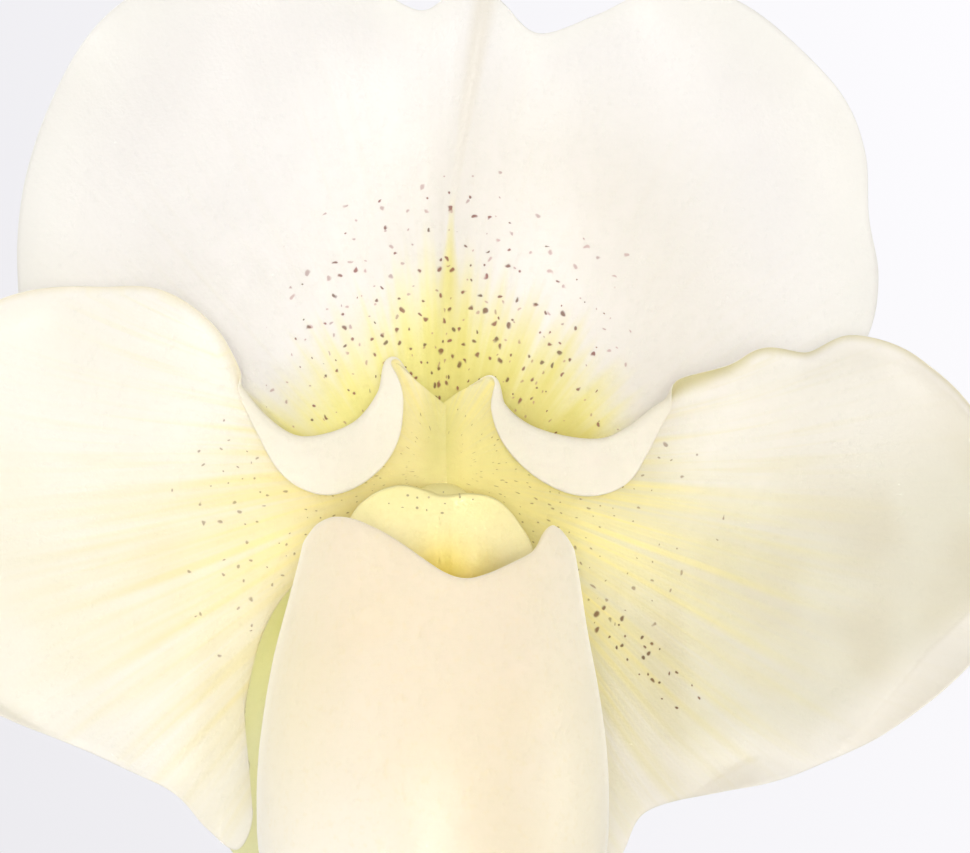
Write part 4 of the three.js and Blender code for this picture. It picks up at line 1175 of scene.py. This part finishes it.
def cut_hole(piece, at):
    top = POT_FLOOR + 2
    profile = [(0, -2), (DRAIN_R + 0.4, -2), (DRAIN_R, 1), (DRAIN_R, top), (0, top)]
    tool = mesh_object("hole", *lathe(profile, 32, at))
    cut = piece.modifiers.new("hole", "BOOLEAN")
    cut.operation = "DIFFERENCE"
    cut.solver = "EXACT"
    cut.object = tool
    with bpy.context.temp_override(object=piece):
        bpy.ops.object.modifier_apply(modifier=cut.name)
    bpy.data.objects.remove(tool)


def make_chip(size, draw):
    """One bark chip: a slab with uneven faces and chipped corners, about its own middle."""
    parts = (7, 6, 4)
    known = {}
    faces = []
    for axis in range(3):
        u_axis, v_axis = (a for a in range(3) if a != axis)
        for end in (0, parts[axis] - 1):
            for u in range(parts[u_axis] - 1):
                for v in range(parts[v_axis] - 1):
                    ring = []
                    for du, dv in ((0, 0), (1, 0), (1, 1), (0, 1)):
                        place = [0, 0, 0]
                        place[axis] = end
                        place[u_axis] = u + du
                        place[v_axis] = v + dv
                        ring.append(known.setdefault(tuple(place), len(known)))
                    if (end == 0) == (axis != 1):
                        ring.reverse()
                    faces.append(ring)
    points = 2 * np.array(list(known)) / (np.array(parts) - 1) - 1
    round_off = 1 - 0.17 * np.linalg.norm(points, axis=1, keepdims=True) ** 2 / 3
    shape = points * round_off * (1 + 0.13 * draw.normal(size=points.shape))
    shape[:, 1] *= 1 + 0.3 * shape[:, 0] * draw.uniform(-1, 1)
    shape[:, 2] += 0.35 * draw.uniform(-1, 1) * shape[:, 0] ** 2
    return shape * size / 2, faces, points * size / 2


def turned(points, angles):
    """Points turned about x, then y, then z."""
    return points @ np.array(Euler(angles).to_matrix()).T


def make_bark(material):
    """The fill with chips heaped on it, clear of the growths' leaf bases."""
    draw = np.random.default_rng(23)
    top = inside_radius(BARK_TOP) - GAP
    low = POT_FLOOR + GAP
    profile = [(0, low), (inside_radius(low) - GAP, low), (top, BARK_TOP - 3), (0, BARK_TOP - 2.6)]
    fill, faces = lathe(finer(np.array(profile), step=3), sides=96)
    fill[:, 2] += np.where(fill[:, 2] > BARK_TOP - 4, 0.8 * ripple(fill[:, 0], fill[:, 1], 9, 3, 3.0), 0)
    parts = [(fill, faces, {"pick": np.zeros(len(fill)), "grain": fill})]
    count = 0
    while count < CHIP_COUNT:
        size = np.array([draw.uniform(6, 15), draw.uniform(4.5, 9), draw.uniform(2.2, 4.5)])
        radius = (top - 4.5) * math.sqrt(draw.uniform(0, 1))
        angle = draw.uniform(0, 2 * math.pi)
        x = radius * math.cos(angle)
        y = radius * math.sin(angle)
        near = min(math.dist((x, y), MAIN_AT), math.dist((x, y), SIDE_AT))
        if near < CHIP_CLEAR:
            continue
        if near < CHIP_NEAR:
            size *= 0.55
        points, quads, grain = make_chip(size, draw)
        points = turned(points, (draw.normal(0, 0.35), draw.normal(0, 0.35), draw.uniform(0, 2 * math.pi)))
        lift = mix(-2.2, 2.4, count / CHIP_COUNT) + draw.uniform(-0.6, 0.6)
        points += (x, y, BARK_TOP - 1 + lift)
        reach = np.hypot(points[:, 0], points[:, 1])
        points[:, :2] *= np.minimum(1, top / np.maximum(reach, 1e-6))[:, None]
        facts = {"pick": np.full(len(points), draw.uniform()), "grain": grain + count * 7.3}
        parts.append((points, quads, facts))
        count += 1
    make("potting_bark_chips", joined(parts), material, "potting_bark")


def make_crown(name, at, material):
    """A growth's short stem between the leaf bases, on a wider foot in the bark."""
    foot = BARK_TOP - CROWN_DEEP
    shoulder = BARK_TOP - 2.8
    top = BARK_TOP + CROWN_RISE
    profile = [
        (0, foot), (CROWN_FOOT_R - 2, foot), (CROWN_FOOT_R, foot + 3), (CROWN_FOOT_R, shoulder - 1),
        (CROWN_FOOT_R - 1, shoulder), (CROWN_R, shoulder), (CROWN_R, top - 4), (CROWN_R - 1.4, top),
        (STALK_R + 0.5, top), (STALK_R + 0.4, top - 8), (0, top - 8),
    ]
    points, faces = lathe(finer(rounded(profile, radius=1), step=0.8), 54, at)
    turn = np.arctan2(points[:, 1] - at[1], points[:, 0] - at[0])
    facts = {"vein": turn, "reach": points[:, 2] - foot, "side": np.zeros(len(points))}
    make(f"{name}_stem", (points, faces, facts), material, name)


# Everything in place.
left_skin = tissue("left_petal_tissue", CREAM, petal_zone, 18, petal_marks)
shaded_right_skin = tissue("right_petal_shaded_tissue", SHADED_CREAM, petal_zone, 20, petal_marks)
stem_skin = green_material("stem_skin", (122, 140, 72), (98, 118, 58), (122, 88, 76))
leaf_skin = leaf_material()

make_dorsal(tissue("sepal_tissue", WHITE, dorsal_zone, 15, dorsal_marks))
make_synsepal(tissue("lower_sepal_tissue", GREENISH, petal_zone, 15, clear=0.8))
make_petal("petal_right", RIGHT_UPPER, RIGHT_TIP, RIGHT_LOWER, RIGHT_ROLL, RIGHT_CURL, 1, 0.4, shaded_right_skin)
make_petal("petal_left", LEFT_UPPER, LEFT_TIP, LEFT_LOWER, LEFT_ROLL, LEFT_CURL, -1, 2.1, left_skin)
make_lip(lip_material())
make_column(shield_material())
make_stalk(stem_skin)
make_ovary(green_material("ovary_skin", (158, 174, 104), (122, 144, 74), (150, 120, 92)))
make_bract(green_material("bract_skin", (156, 176, 106), (128, 152, 82), (150, 130, 90), 0.1))
make_crown("crown_main", MAIN_AT, stem_skin)
make_crown("crown_side", SIDE_AT, stem_skin)
for growth, at, leaves in (("leaf_main", MAIN_AT, MAIN_LEAVES), ("leaf_side", SIDE_AT, SIDE_LEAVES)):
    for number, leaf in enumerate(leaves, 1):
        make_leaf(f"{growth}_{number}", at, leaf, leaf_skin, number * 13)
make_pot(clay_material())
make_bark(bark_material())

# Stage: a pale floor that fades out, a pale sky, and soft lights. The sky that is seen is paler towards the
# right and the top. The light that it sheds is strongest from the upper left.
SKY_LEAN = (3.6, 0, 1.3)
SKY_SIDE = (-0.88, -0.25, 0.4)
SKY_LIGHT = (0.51, 0.8)
BLOOM_SPOT = Vector(BLOOM_AT) * MM

# Lamps: name, place, how far below the bloom's centre it aims, size, power, spread in degrees. In metres.
LAMPS = [
    ("key", (-1.15, -0.95, 1.05), 0, 0.7, 3.2, 180),
    ("fill", (0.05, -1.4, 0.36), 0, 0.5, 7.6, 180),
    ("glow", (-0.6, 1.0, 0.95), 0, 0.8, 6.0, 180),
    ("side", (1.25, -0.3, 0.4), 0, 0.6, 3.0, 180),
    ("centre", (0.01, -0.9, 0.34), 0.002, 0.05, 0.0022, 4.8),
]


def floor():
    top = -1.2
    profile = [(0, top), (60, top), (700, top), (1200, top), (1200, -1.4), (0, -1.4)]
    piece = mesh_object("floor", *lathe(profile, sides=96))
    g = material_graph("floor")
    place = g.place()
    x, y, _ = g.split(place)
    colour = g.blend(g.noise(place, 0.02), tint(241, 241, 243), tint(243, 243, 245))
    clear = g.add("ShaderNodeBsdfTransparent", {})
    both = g.mixed(g.step(g.span(x, y), 350, 1100), g.surface(Base_Color=colour, Roughness=0.7), clear)
    piece.data.materials.append(g.finish(both))


def sky():
    world = bpy.data.worlds.new("sky")
    bpy.context.scene.world = world
    g = Graph(world)
    spot = g.add("ShaderNodeTexCoord", {}, "Generated")
    lean = g.ramp(g.vector("DOT_PRODUCT", spot, SKY_LEAN, "Value"), -0.5, 0.5, 0, 1)
    strength = g.ramp(g.vector("DOT_PRODUCT", spot, SKY_SIDE, "Value"), -1, 1, *SKY_LIGHT)
    light = g.add("ShaderNodeBackground", {"Color": (1, 0.99, 0.97, 1), "Strength": strength})
    seen = g.add("ShaderNodeBackground", {"Color": g.blend(lean, tint(237, 236, 240), tint(253, 252, 255))})
    g.finish(g.mixed(g.add("ShaderNodeLightPath", {}, "Is Camera Ray"), light, seen), "World")


def lamp(name, at, drop, size, power, spread):
    light = bpy.data.lights.new(name, "AREA")
    light.shape = "DISK"
    light.size = size
    light.energy = power
    light.spread = math.radians(spread)
    holder = placed(name, light)
    holder.location = at
    holder.rotation_mode = "QUATERNION"
    holder.rotation_quaternion = (BLOOM_SPOT - Vector((0, 0, drop)) - Vector(at)).to_track_quat("-Z", "Y")


def camera():
    lens = bpy.data.cameras.new("camera")
    lens.sensor_width = SENSOR
    lens.lens = SENSOR * VIEW_DISTANCE / VIEW_WIDTH
    lens.clip_start = 0.01
    lens.clip_end = 20
    holder = placed("camera", lens)
    x, z = VIEW_AIM
    holder.location = BLOOM_SPOT + Vector((x, -VIEW_DISTANCE, z)) * MM
    holder.rotation_euler = (math.radians(90), 0, 0)
    bpy.context.scene.camera = holder


floor()
sky()
camera()
for settings in LAMPS:
    lamp(*settings)
bpy.context.scene.view_settings.view_transform = "Standard"
